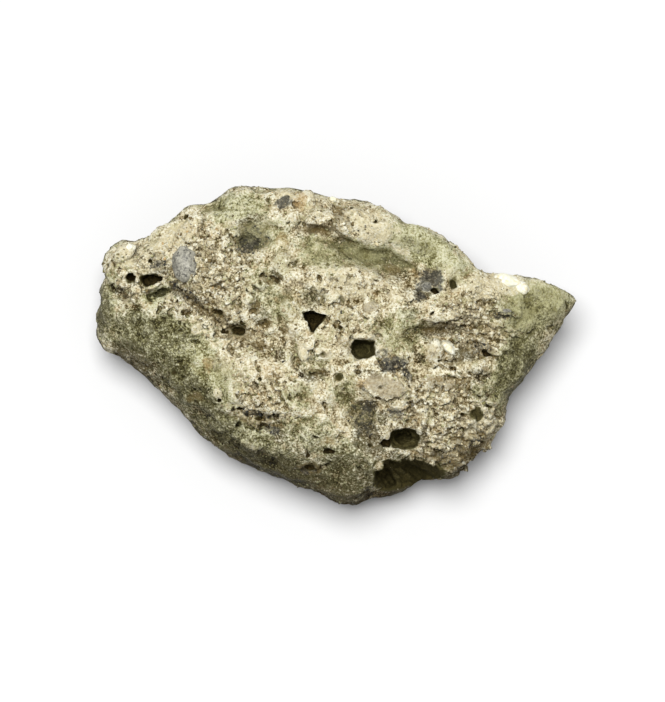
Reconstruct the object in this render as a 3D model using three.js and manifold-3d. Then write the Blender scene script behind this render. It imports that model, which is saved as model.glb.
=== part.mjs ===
// A hand specimen of trinitite: one lump of fused desert sand, green glass with a crust of sand grains on top
// and burst gas bubbles all over it. It lies on its flattened underside.
//
// Units are millimetres. The origin is on the resting surface, below the middle of the stone. +X runs along
// the stone towards its thin wing, +Y across it and +Z up.

import * as THREE from "three";
import { ImprovedNoise } from "three/addons/math/ImprovedNoise.js";
import { mergeVertices } from "three/addons/utils/BufferGeometryUtils.js";
import Module from "manifold-3d";

// Driving dimensions.
const CROWN_HEIGHT = 9.3; // the top face at the middle, before its bumps and hollows
const SAG_BELOW_REST = 0.55; // how far the underside's belly would reach below the surface it rests on
const TIP_DROP = 2.6; // how much lower the top face is at the tip of the wing
const TIP_LIFT = 3.1; // how much higher the underside is there
const WEST_DROP = 0.9; // how much lower the top face is at the far west end
const TOP_SQUARENESS = 3.1; // 2 is a round edge, more is a squarer one
const BELLY_SQUARENESS = 2.7;
const TOP_SHARE = 2.0; // stretches the starting sphere, so that the flat faces get most of its rows

const SKIN_DETAIL = 18; // how often each edge of the starting icosahedron is split
const BROAD_RIM = { step: 0.012, steps: 3 }; // averages this many points each way, a share of the rim apart

// The widest line round the stone, anticlockwise from the tip of the wing: x, y, and its height z.
const RIM = [
  [15.95, 3.1, 5.7], [14.9, 3.8, 6.0], [13.6, 4.4, 6.2], [12.0, 4.68, 6.4], [10.6, 4.85, 6.4],
  [9.4, 5.2, 6.5], [8.6, 6.15, 6.6], [7.2, 7.2, 6.7], [5.8, 8.05, 6.7], [4.5, 8.25, 6.7],
  [3.5, 9.05, 6.7], [2.0, 9.6, 6.7], [0.4, 9.75, 6.6], [-1.2, 10.1, 6.5], [-3.0, 10.4, 6.4],
  [-5.9, 10.55, 6.3], [-7.2, 10.05, 6.2], [-8.0, 9.5, 6.1], [-9.5, 9.3, 6.0], [-10.3, 8.6, 5.9],
  [-11.1, 7.95, 5.8], [-13.0, 7.0, 5.5], [-14.2, 7.0, 5.3], [-15.3, 6.1, 5.0], [-15.6, 5.1, 4.8],
  [-15.1, 4.4, 4.6], [-15.5, 3.3, 4.4], [-15.95, 1.6, 4.0], [-15.4, 0.4, 3.7], [-14.0, -0.85, 3.4],
  [-12.0, -2.4, 3.2], [-10.2, -4.2, 3.1], [-8.3, -6.0, 3.0], [-6.0, -7.65, 3.0], [-3.9, -8.65, 3.0],
  [-1.2, -9.5, 3.1], [0.6, -10.4, 3.2], [1.3, -10.65, 3.2], [1.95, -10.05, 3.1], [3.3, -10.0, 2.9],
  [4.6, -9.55, 2.9], [5.3, -8.9, 3.1], [6.6, -8.7, 3.7], [7.9, -8.6, 4.1], [8.9, -7.7, 4.4],
  [10.3, -6.3, 4.5], [11.1, -5.0, 4.6], [11.6, -3.4, 4.7], [12.6, -2.0, 4.8], [13.3, -1.0, 5.0],
  [14.4, 0.75, 5.2], [15.5, 2.3, 5.5],
];

// Bumps and hollows of the top face: middle, half lengths along and across, turn in degrees, and rise.
const TOP_RELIEF = [
  { name: "north ridge, west end", at: [-6.0, 9.0], half: [3.2, 1.3], turn: 4, rise: 0.5 },
  { name: "north ridge, middle", at: [1.6, 8.2], half: [2.8, 1.3], turn: -10, rise: 0.9 },
  { name: "north ridge, east end", at: [6.2, 6.7], half: [2.9, 1.0], turn: -33, rise: 0.9 },
  { name: "trough, west end", at: [-1.2, 7.3], half: [1.9, 0.8], turn: -12, rise: -1.0 },
  { name: "trough, middle", at: [1.8, 6.2], half: [2.6, 0.9], turn: -10, rise: -1.7 },
  { name: "trough, east end", at: [4.5, 5.3], half: [1.6, 0.8], turn: -22, rise: -1.4 },
  { name: "plateau lip", at: [1.0, 4.7], half: [3.2, 0.7], turn: 0, rise: 0.5 },
  { name: "dark hollow", at: [-5.8, 7.0], half: [1.2, 1.0], turn: 20, rise: -1.2 },
  { name: "west lobe", at: [-12.6, 5.6], half: [2.4, 1.6], turn: 10, rise: 0.5 },
  { name: "west lobe, south side", at: [-12.4, 2.4], half: [2.6, 0.9], turn: -5, rise: 0.3 },
  { name: "west sand mass", at: [-7.8, 4.6], half: [2.9, 2.0], turn: -20, rise: 0.8 },
  { name: "crevice, north end", at: [-9.9, 3.5], half: [1.4, 0.55], turn: -50, rise: -1.1 },
  { name: "crevice, middle", at: [-8.1, 1.8], half: [1.4, 0.5], turn: -35, rise: -0.9 },
  { name: "crevice, south end", at: [-6.2, 0.9], half: [1.3, 0.55], turn: -8, rise: -1.2 },
  { name: "step under the crevice", at: [-4.2, -0.3], half: [2.2, 0.5], turn: -14, rise: -0.5 },
  { name: "middle plateau", at: [1.2, 1.6], half: [4.2, 3.0], turn: 0, rise: 0.5 },
  { name: "south-west sand mass", at: [-5.0, -2.6], half: [3.0, 1.8], turn: -10, rise: 0.6 },
  { name: "south-west hollow", at: [-5.0, -5.1], half: [1.7, 0.7], turn: -14, rise: -0.6 },
  { name: "east bulge", at: [7.4, 2.6], half: [2.2, 0.9], turn: 4, rise: 0.6 },
  { name: "hollow under the east bulge", at: [7.0, 1.1], half: [2.0, 0.6], turn: 3, rise: -0.9 },
  { name: "hollow beside the white grain", at: [5.5, -0.7], half: [1.0, 1.1], turn: 0, rise: -0.6 },
  { name: "buff clast", at: [3.3, -2.4], half: [1.9, 1.2], turn: -8, rise: 0.5 },
  { name: "grey hollow", at: [2.0, -4.8], half: [1.2, 1.5], turn: 15, rise: -0.9 },
  { name: "south-east sand mass", at: [8.2, -3.0], half: [2.6, 2.4], turn: 20, rise: 0.6 },
  { name: "south keel", at: [-0.4, -8.4], half: [2.6, 1.2], turn: -12, rise: -0.9 },
];

// Bumps and hollows of the underside, in the same form. A rise is upwards, into the stone.
const BELLY_RELIEF = [
  { name: "hollow under the wing", at: [11.0, 1.5], half: [4.0, 3.0], turn: 10, rise: 0.9 },
  { name: "hollow, north", at: [-1.5, 5.4], half: [3.4, 1.8], turn: -10, rise: 0.9 },
  { name: "hollow, middle", at: [1.0, -0.4], half: [2.4, 1.3], turn: 30, rise: 0.8 },
  { name: "hollow, west", at: [-9.8, 0.8], half: [1.8, 1.3], turn: 0, rise: 0.8 },
  { name: "foot, south", at: [2.6, -5.4], half: [2.8, 1.4], turn: -10, rise: -0.4 },
];

// Burst bubbles and the broken cave, cut as stretched spheres: middle, half sizes and turn in degrees.
const BUBBLES = [
  { name: "twin bubble, round", at: [-13.5, 4.5, 7.7], half: [0.42, 0.4, 1.6], turn: 0 },
  { name: "twin bubble, long", at: [-12.2, 4.45, 7.9], half: [0.82, 0.4, 1.7], turn: -4 },
  { name: "slanted trough", at: [-11.75, 3.55, 8.3], half: [0.8, 0.36, 0.9], turn: 18 },
  { name: "square bubble", at: [1.8, -0.25, 8.9], half: [0.86, 0.68, 1.9], turn: 0 },
  { name: "great bubble", at: [4.6, -6.0, 7.2], half: [1.05, 0.68, 2.4], turn: -6 },
  { name: "great bubble's neighbour", at: [3.3, -6.4, 8.0], half: [0.34, 0.36, 1.2], turn: 0 },
  { name: "ringed bubble", at: [9.4, -4.35, 8.4], half: [0.48, 0.44, 1.1], turn: 0 },
  { name: "north-east bubble", at: [6.65, 3.6, 9.2], half: [0.42, 0.34, 1.1], turn: 0 },
  { name: "west notch", at: [-14.55, 3.7, 7.2], half: [0.75, 0.5, 1.1], turn: 10 },
  { name: "cave", at: [5.2, -8.7, 6.9], half: [2.3, 1.3, 2.9], turn: -8 },
  { name: "cave, west arm", at: [3.5, -8.9, 6.4], half: [0.9, 0.9, 2.3], turn: 40 },
];
const BUBBLE_SEGMENTS = 14;
const BUBBLE_ROWS = 8;

// The three-sided hole near the middle: a tapered prism with its point towards -Y.
const TRIANGLE_HOLE = { at: [-1.42, 1.85, 8.9], radius: 0.8, taper: 0.55, depth: 3.4 };

// Dents of the flanks: size of their waves round the rim, layers between top and underside, then their depth
// and the flanks' even pull inwards, as shares of the distance from the middle.
const FLANK_DENTS = { wave: 4.5, layers: 3, depth: 0.05, pull: 0.025 };

// Roughness of the whole skin: size of its waves, and how far it moves the surface.
const ROUGHNESS = [
  { wave: 3.4, height: 0.4 },
  { wave: 1.7, height: 0.3 },
];
const RIM_ROUGHNESS_SHARE = 0.25; // the rim line already has its own turns
const BELLY_ROUGHNESS = { wave: 2.6, layer: 7.5, height: 0.4 };

const HEART = new THREE.Vector3(0, 0, CROWN_HEIGHT / 2);

const noise = new ImprovedNoise();
const rim = new THREE.CatmullRomCurve3(
  RIM.map(([x, y, z]) => new THREE.Vector3(x, y, z)),
  true,
  "centripetal",
);

// The height that a list of bumps and hollows adds at x, y.
function reliefAt(list, x, y) {
  let height = 0;
  for (const { at, half, turn, rise } of list) {
    const angle = THREE.MathUtils.degToRad(turn);
    const dx = x - at[0];
    const dy = y - at[1];
    const along = (dx * Math.cos(angle) + dy * Math.sin(angle)) / half[0];
    const across = (dy * Math.cos(angle) - dx * Math.sin(angle)) / half[1];
    height += rise * Math.exp(-(along * along + across * across));
  }
  return height;
}

// How far out towards the wing's tip x lies, from 0 at the middle to 1. The middle stays nearly level.
function wingShare(x) {
  return Math.max(0, x / RIM[0][0]) ** 2;
}

function crownHeight(x, y) {
  return CROWN_HEIGHT - TIP_DROP * wingShare(x) - WEST_DROP * wingShare(-x) + reliefAt(TOP_RELIEF, x, y);
}

function bellyHeight(x, y) {
  const { wave, layer, height } = BELLY_ROUGHNESS;
  const bumps = height * noise.noise(x / wave, y / wave, layer);
  return TIP_LIFT * wingShare(x) - SAG_BELOW_REST + reliefAt(BELLY_RELIEF, x, y) + bumps;
}

// The rim line at a share of its length, and the same line with its small turns averaged out.
function rimPoint(share) {
  return rim.getPointAt(THREE.MathUtils.euclideanModulo(share, 1));
}

function broadRimPoint(share) {
  const sum = new THREE.Vector3();
  for (let i = -BROAD_RIM.steps; i <= BROAD_RIM.steps; i++) sum.add(rimPoint(share + i * BROAD_RIM.step));
  return sum.divideScalar(2 * BROAD_RIM.steps + 1);
}

// Moves a point straight out from the stone's heart by a share of the skin's roughness.
function roughen(point, share) {
  const outwards = point.clone().sub(HEART).normalize();
  for (const { wave, height } of ROUGHNESS) {
    const shift = height * noise.noise(point.x / wave, point.y / wave, point.z / wave);
    point.addScaledVector(outwards, share * shift);
  }
}

// Turns a point of the unit sphere into one of the stone's skin: a squarish cross-section over the rim line,
// under the top face's relief or above the underside's. The flanks are dented inwards between rim and face.
function skinPoint(direction) {
  const radial = Math.hypot(direction.x, direction.y);
  const upright = Math.abs(direction.z) * TOP_SHARE;
  const isTop = direction.z >= 0;
  const squareness = isTop ? TOP_SQUARENESS : BELLY_SQUARENESS;
  const size = (radial ** squareness + upright ** squareness) ** (1 / squareness);
  const outwards = radial / size;
  const upwards = upright / size;
  const share = Math.atan2(direction.y, direction.x) / (2 * Math.PI);
  const edge = rimPoint(share).lerp(broadRimPoint(share), upwards ** 2);
  const { wave, layers, depth, pull } = FLANK_DENTS;
  const flank = 4 * upwards * (1 - upwards); // 1 half way up, 0 at the rim and on the face
  const dent = pull + depth * noise.noise(edge.x / wave, edge.y / wave, direction.z * layers);
  const reach = outwards * (1 - flank * dent);
  const x = edge.x * reach;
  const y = edge.y * reach;
  const face = isTop ? crownHeight(x, y) : bellyHeight(x, y);
  const point = new THREE.Vector3(x, y, edge.z + (face - edge.z) * upwards);
  roughen(point, RIM_ROUGHNESS_SHARE + (1 - RIM_ROUGHNESS_SHARE) * upwards);
  point.z = Math.max(0, point.z); // flat where it rests
  return point;
}

const wasm = await Module();
wasm.setup();

// A closed geometry as a manifold-3d solid.
function solidOf(geometry) {
  const bare = geometry.clone();
  bare.deleteAttribute("normal");
  bare.deleteAttribute("uv");
  const merged = mergeVertices(bare);
  return new wasm.Manifold(
    new wasm.Mesh({
      numProp: 3,
      vertProperties: merged.attributes.position.array,
      triVerts: new Uint32Array(merged.index.array),
    }),
  );
}

// A manifold-3d solid as a geometry.
function geometryOf(solid) {
  const mesh = solid.getMesh();
  const geometry = new THREE.BufferGeometry();
  geometry.setAttribute("position", new THREE.BufferAttribute(mesh.vertProperties, 3));
  geometry.setIndex(new THREE.BufferAttribute(mesh.triVerts, 1));
  geometry.computeVertexNormals();
  return geometry;
}

function lumpSolid() {
  const geometry = new THREE.IcosahedronGeometry(1, SKIN_DETAIL);
  geometry.deleteAttribute("normal");
  geometry.deleteAttribute("uv");
  const lump = mergeVertices(geometry);
  const place = lump.attributes.position;
  for (let i = 0; i < place.count; i++) {
    const point = skinPoint(new THREE.Vector3().fromBufferAttribute(place, i));
    place.setXYZ(i, point.x, point.y, point.z);
  }
  return solidOf(lump);
}

function bubbleSolid({ at, half, turn }) {
  const geometry = new THREE.SphereGeometry(1, BUBBLE_SEGMENTS, BUBBLE_ROWS);
  geometry.rotateX(Math.PI / 2);
  geometry.scale(...half);
  geometry.rotateZ(THREE.MathUtils.degToRad(turn));
  geometry.translate(...at);
  return solidOf(geometry);
}

function triangleHoleSolid({ at, radius, taper, depth }) {
  const geometry = new THREE.CylinderGeometry(radius, radius * taper, depth, 3);
  geometry.rotateX(Math.PI / 2); // its wide end up, with a corner towards -Y
  geometry.translate(...at);
  return solidOf(geometry);
}

// The whole stone, with the origin below the middle of its bounding box.
function stoneGeometry() {
  let solid = lumpSolid();
  for (const bubble of BUBBLES) solid = solid.subtract(bubbleSolid(bubble));
  solid = solid.subtract(triangleHoleSolid(TRIANGLE_HOLE));
  const geometry = geometryOf(solid);
  geometry.computeBoundingBox();
  const middle = geometry.boundingBox.getCenter(new THREE.Vector3());
  return geometry.translate(-middle.x, -middle.y, 0);
}

const fusedSand = new THREE.MeshStandardMaterial({ color: 0xb9b189, roughness: 0.8, metalness: 0 });
const trinitite = new THREE.Mesh(stoneGeometry(), fusedSand);
trinitite.name = "trinitite";

const specimen = new THREE.Group();
specimen.add(trinitite);

export default specimen;
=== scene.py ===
"""A hand specimen of trinitite round its frame: green glass fused from desert sand, with a crust of sand
grains and burst gas bubbles. Lengths in the lists are millimetres, and every mesh is in metres."""

import math
from collections import namedtuple

import bmesh
import bpy
import numpy as np
from bpy.props import FloatProperty, FloatVectorProperty, IntProperty, PointerProperty
from mathutils import Euler, Matrix, Vector, noise
from mathutils.bvhtree import BVHTree


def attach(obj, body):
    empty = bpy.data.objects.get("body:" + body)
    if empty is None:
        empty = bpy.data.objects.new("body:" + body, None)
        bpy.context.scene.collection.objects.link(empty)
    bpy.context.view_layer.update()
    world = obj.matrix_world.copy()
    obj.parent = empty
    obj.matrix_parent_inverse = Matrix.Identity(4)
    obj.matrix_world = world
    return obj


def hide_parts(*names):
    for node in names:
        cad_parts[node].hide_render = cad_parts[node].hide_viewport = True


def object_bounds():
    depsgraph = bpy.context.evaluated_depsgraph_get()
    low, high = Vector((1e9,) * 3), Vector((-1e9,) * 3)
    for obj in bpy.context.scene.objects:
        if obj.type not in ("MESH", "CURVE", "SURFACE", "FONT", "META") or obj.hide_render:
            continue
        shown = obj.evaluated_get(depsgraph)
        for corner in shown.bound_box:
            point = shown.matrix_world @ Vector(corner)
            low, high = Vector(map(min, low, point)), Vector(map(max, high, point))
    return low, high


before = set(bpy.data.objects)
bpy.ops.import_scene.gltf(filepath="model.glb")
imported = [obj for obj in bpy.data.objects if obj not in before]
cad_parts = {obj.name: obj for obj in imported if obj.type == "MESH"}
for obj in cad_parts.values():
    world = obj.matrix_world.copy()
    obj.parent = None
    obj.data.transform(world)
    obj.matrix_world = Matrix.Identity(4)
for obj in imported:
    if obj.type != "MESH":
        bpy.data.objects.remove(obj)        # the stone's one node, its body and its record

bl_info = {
    "name": "Trinitite Specimen",
    "version": (1, 0, 0),
    "blender": (4, 5, 0),
    "location": "View3D > Sidebar > Trinitite",
    "description": "Makes the fused lump, its sand grains and the studio round it",
    "category": "Object",
}

MM = 0.001
STONE_NODE = "trinitite"
BODY = "root"
CAD_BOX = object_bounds()
LUMP_NAME = "fused_lump"

# --------------------------------------------------------------------------------------------------
# Where things are on the top face
# --------------------------------------------------------------------------------------------------

# A zone of the surface: its middle, half sizes along and across, turn in degrees and strength
Spot = namedtuple("Spot", "what x y long wide turn amount")

GLASS = [
    Spot("west shoulder", -11.6, 0.6, 3.6, 1.7, -12, 1.0),
    Spot("west shoulder, lower", -9.2, -2.0, 3.2, 2.2, -42, 0.95),
    Spot("south-west flank", -5.6, -6.6, 5.0, 1.3, -36, 0.9),
    Spot("west nose", -15.3, 2.4, 0.9, 2.0, 0, 0.9),
    Spot("north edge", -6.4, 9.2, 2.1, 1.1, 12, 0.9),
    Spot("north hollow's rim", -4.3, 7.5, 1.6, 1.2, 0, 0.6),
    Spot("trough", 2.4, 6.1, 3.2, 0.9, -12, 0.8),
    Spot("trough, west end", -0.9, 6.2, 1.8, 1.2, -10, 0.7),
    Spot("north-east ridge", 6.3, 6.4, 3.2, 1.1, -35, 1.0),
    Spot("wing", 13.4, 2.7, 2.6, 1.6, 18, 1.0),
    Spot("right flank", 12.0, -1.5, 1.3, 3.0, -25, 1.0),
    Spot("right flank, low", 10.3, -2.9, 1.3, 0.7, 0, 0.7),
    Spot("middle, west side", -4.4, 3.3, 1.2, 2.2, 20, 0.6),
    Spot("middle, east side", 4.4, 0.9, 1.8, 1.6, 0, 0.7),
    Spot("under the small ring", 0.6, -3.2, 0.9, 1.2, 0, 0.6),
    Spot("south keel", 0.8, -8.2, 2.2, 2.2, -20, 0.7),
    Spot("south flank", -3.4, -7.6, 3.2, 1.0, -24, 0.8),
    Spot("centre, south-west", -1.4, -1.0, 1.4, 0.8, 0, 0.5),
    Spot("patch in the south-west sand", -2.4, -3.2, 1.0, 1.0, 0, 0.6),
    Spot("south middle", -1.6, -5.9, 2.4, 1.2, -12, 0.7),
    Spot("slanted trough", -11.7, 3.4, 1.0, 0.5, 25, 1.0),
    Spot("west lobe, east", -13.9, 5.6, 0.5, 0.5, 0, 0.6),
    Spot("west lobe, top", -12.2, 6.6, 0.6, 0.35, 0, 0.5),
    Spot("west edge", -14.6, 4.6, 0.4, 0.6, 0, 0.6),
]

# Dark clear glass and painted shade. The spots darken deep glass, and paint shade on the flanks and edges
# turned away from the light, under bulges, knobs and grains, round the bubbles and on the cave's low wall.
# The amount is how dark.
SHADE_AND_DARK_GLASS = [
    Spot("west shoulder", -12.3, 0.9, 3.4, 1.5, -10, 0.6),
    Spot("west nose", -15.4, 2.4, 0.7, 1.8, 0, 0.72),
    Spot("west notch", -14.3, 3.7, 0.6, 0.35, -35, 0.7),
    Spot("lower shoulder", -10.0, -2.6, 4.2, 1.2, -41, 0.72),
    Spot("south-west edge", -9.9, -4.0, 5.2, 0.8, -42, 0.6),
    Spot("south-west flank", -5.4, -7.6, 5.4, 0.9, -29, 0.9),
    Spot("south flank", -2.0, -8.9, 3.4, 1.2, -22, 1.1),
    Spot("trough's dark end", 3.9, 5.2, 0.8, 0.4, -20, 0.45),
    Spot("north edge", -6.6, 9.2, 1.8, 1.0, 12, 0.25),
    Spot("north edge's fold", -5.6, 8.4, 1.2, 0.35, 20, 0.6),
    Spot("north-east ridge's patches", 3.7, 7.3, 0.45, 0.4, 0, 0.5),
    Spot("north-east ridge, west", 4.8, 6.9, 0.45, 0.35, 0, 0.4),
    Spot("wing", 13.5, 2.5, 2.4, 1.5, 15, 0.12),
    Spot("wing's patch", 13.2, 3.1, 0.8, 0.8, 10, 0.35),
    Spot("wing, south edge", 13.6, 0.9, 2.4, 0.9, 45, 0.45),
    Spot("right flank", 12.2, -1.2, 1.3, 2.4, -25, 0.62),
    Spot("right flank, low", 10.2, -2.8, 1.2, 0.6, 0, 0.3),
    Spot("middle, west side", -4.4, 3.4, 0.8, 1.2, 0, 0.3),
    Spot("under the small ring", 0.5, -2.6, 0.6, 0.7, 0, 0.15),
    Spot("over the triangle", -1.35, 3.2, 0.8, 0.8, 0, 0.5),
    Spot("south keel", 0.9, -8.5, 2.3, 1.9, -20, 0.75),
    Spot("keel's tip", 1.2, -10.0, 1.4, 0.8, 0, 1.1),
    Spot("south slope", -3.4, -7.0, 2.8, 0.7, -24, 0.5),
    Spot("groove in the middle", -4.4, -0.1, 1.5, 0.3, -8, 0.4),
    Spot("under the east bulge", 6.8, 0.9, 1.8, 0.5, 0, 0.5),
    Spot("low wall of the cave", 4.2, -9.8, 1.8, 0.7, 20, 1.0),
    Spot("south middle", -1.6, -6.0, 2.4, 1.0, -12, 0.45),
    Spot("grey hollow", 1.9, -4.7, 0.9, 1.2, 10, 0.2),
    Spot("low wall of the cave, east", 7.2, -8.6, 1.2, 0.5, -10, 0.9),
    Spot("middle of the low wall", 5.0, -9.2, 1.6, 0.8, 15, 1.0),
    Spot("slanted trough", -11.4, 3.55, 0.6, 0.25, 25, 0.6),
    Spot("north-east ridge, east", 6.0, 6.4, 0.55, 0.35, -20, 0.35),
    Spot("south-west slope", -6.6, -6.3, 3.8, 1.4, -33, 0.6),
    Spot("south-east edge", 8.7, -7.9, 1.7, 0.5, 42, 0.8),
    Spot("west rim", -13.3, -0.65, 1.6, 0.7, -35, 1.4),
    Spot("below the grey grain", -10.3, 3.5, 0.7, 0.5, -20, 0.8),
    Spot("beside the long twin", -11.4, 4.9, 0.5, 0.4, 0, 0.7),
    Spot("brown hollow", -4.9, 2.0, 0.7, 0.6, 0, 0.5),
    Spot("under the knob by the north hollow", -3.6, 4.6, 0.5, 0.4, 0, 0.9),
    Spot("east of the north hollow", -2.7, 7.4, 0.9, 0.5, 0, 0.3),
    Spot("south of the centre", -1.5, -1.9, 1.1, 0.5, 0, 0.7),
    Spot("west of the centre", -3.6, -0.6, 0.6, 0.4, 0, 0.7),
    Spot("south-west sand", -3.6, -5.8, 0.8, 0.5, 0, 0.7),
    Spot("beside the great bubble", 2.3, -6.3, 1.1, 1.2, 0, 0.85),
    Spot("under the great bubble", 3.9, -7.2, 1.8, 0.35, 0, 0.65),
    Spot("great bubble, east", 5.9, -6.0, 0.4, 0.6, 0, 0.8),
    Spot("over the cave's east end", 7.0, -7.2, 0.9, 0.4, -15, 0.9),
    Spot("beside the white grain", 8.5, -0.6, 0.9, 0.4, -10, 0.9),
    Spot("east lower", 9.8, -1.9, 0.9, 0.5, -10, 0.7),
    Spot("beside the orange knob", 5.6, -0.7, 0.5, 0.5, 0, 0.75),
    Spot("north-east bubble, foot", 5.8, 3.3, 0.6, 0.5, 0, 0.75),
    Spot("trough's foot", 4.4, 4.6, 0.6, 0.35, -15, 0.5),
    Spot("middle east", 5.0, 2.2, 0.9, 0.5, 0, 0.35),
    Spot("over the buff clast", 2.4, -1.8, 1.0, 0.35, -10, 0.6),
    Spot("grey hollow, east", 3.1, -4.6, 0.5, 0.5, 0, 0.7),
]

ROUGH = [
    Spot("west lobe", -12.8, 4.6, 2.6, 2.2, 10, 0.9),
    Spot("west sand mass", -8.6, 4.6, 3.6, 3.2, -15, 1.0),
    Spot("crevice", -7.4, 1.4, 3.0, 1.0, -28, 1.0),
    Spot("south-west mass", -4.8, -3.6, 2.6, 1.8, -12, 0.9),
    Spot("north ridge top", 0.6, 8.6, 2.6, 1.0, -8, 0.5),
    Spot("east streaks", 9.6, 1.6, 2.6, 2.2, -15, 1.0),
    Spot("south-east mass", 7.8, -4.6, 3.2, 3.2, 20, 0.9),
    Spot("lip of the cave", 7.2, -7.2, 2.6, 1.0, -10, 1.0),
    Spot("middle", 1.2, 2.4, 3.4, 2.6, 0, 0.5),
    Spot("soot by the square bubble", 4.0, -1.4, 1.2, 0.9, -20, 0.7),
]

STREAKS = [
    Spot("east band", 9.6, 0.8, 3.0, 2.4, -12, 1.0),
    Spot("below the white grain", 8.2, -1.6, 2.6, 1.2, -8, 0.9),
    Spot("lip of the cave", 7.6, -6.9, 3.0, 1.3, -12, 0.8),
    Spot("south-west pits", -5.2, -4.8, 1.6, 0.7, -10, 0.7),
    Spot("by the slanted crack", 7.8, 3.4, 1.4, 0.8, 18, 0.6),
]
STREAK_TURN = math.radians(-14)  # the way that the layers in the crust run, from +X

SOOT = [
    Spot("north hollow", -5.6, 6.75, 0.85, 0.6, 20, 0.8),
    Spot("north hollow, upper part", -5.3, 7.5, 1.0, 0.7, 20, 0.4),
    Spot("north edge speck", -3.3, 9.45, 0.5, 0.45, 0, 1.1),
    Spot("over the long twin", -11.7, 5.4, 0.5, 0.25, 10, 0.7),
    Spot("beside the slanted trough", -10.5, 4.1, 0.5, 0.3, 0, 0.4),
    # painted shadow along the crevice under the sand mass's edge
    Spot("crevice", -9.6, 3.4, 1.3, 0.3, -42, 0.25),
    Spot("north-east bubble", 6.4, 4.6, 0.75, 0.5, 0, 1.2),
    Spot("north-east bubble, right side", 6.9, 4.1, 0.35, 0.5, 0, 1.0),
    Spot("north-east bubble, left side", 5.7, 3.8, 0.3, 0.65, 0, 0.8),
    Spot("north-east, below", 5.7, 3.25, 0.4, 0.25, 0, 0.8),
    Spot("by the square bubble", 3.85, -1.2, 0.9, 0.5, 10, 1.15),
    Spot("by the square bubble, upper part", 3.3, -0.5, 0.45, 0.3, 0, 0.5),
    Spot("by the buff clast", 4.8, -1.8, 0.5, 0.3, -50, 0.9),
    # painted shade in the grey hollow, at its east wall and its foot
    Spot("grey hollow", 1.9, -4.7, 0.9, 1.25, 10, 0.45),
    Spot("grey hollow, east wall", 2.35, -4.1, 0.4, 0.6, 30, 0.7),
    Spot("grey hollow, foot", 1.6, -5.2, 0.35, 0.5, 10, 0.6),
    Spot("over the great bubble", 4.1, -4.5, 0.5, 0.45, 0, 0.7),
    Spot("south-west blue speck", -4.0, -5.6, 0.5, 0.3, -20, 0.8),
    Spot("centre", -1.6, -0.9, 0.25, 0.5, 0, 0.5),
    Spot("south brown pits", -1.7, -8.2, 0.55, 0.3, -5, 0.9),
    Spot("east crevice", 9.8, -0.2, 0.7, 0.5, -20, 0.4),
    Spot("east streak", 11.2, 2.05, 0.7, 0.2, 5, 0.8),
    Spot("south-west pits", -5.3, -4.5, 0.9, 0.25, -10, 0.6),
    Spot("south-east edge", 8.9, -6.5, 1.1, 0.25, 25, 0.35),
    Spot("north hollow, east part", -4.6, 7.1, 0.6, 0.5, 30, 0.35),
]

RUST = [
    Spot("north edge", -2.3, 9.7, 0.5, 0.8, 10, 0.9),
    Spot("north, by the hollow", -3.4, 7.0, 0.6, 0.7, 0, 0.5),
    Spot("west edge", -9.7, 7.7, 0.7, 0.5, -10, 0.7),
    Spot("south-west mass", -4.4, -1.6, 1.6, 0.8, -15, 0.45),
    Spot("south-west mass, low", -5.4, -3.4, 1.2, 0.7, 0, 0.35),
    Spot("buff clast's edge", 2.0, -2.5, 0.6, 0.25, 0, 0.9),
    Spot("middle", 1.2, 3.6, 1.0, 0.6, 0, 0.3),
    Spot("orange knob", 6.5, -0.4, 0.5, 0.7, 0, 0.5),
    Spot("east band", 7.0, -2.0, 2.2, 0.5, -8, 0.35),
    Spot("west lobe", -12.4, 2.7, 0.6, 0.4, 0, 0.5),
    Spot("west shoulder's edge", -8.4, -1.2, 0.4, 0.7, 20, 0.6),
    Spot("south slot", -0.4, -6.3, 0.7, 0.4, 0, 0.5),
]

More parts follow.
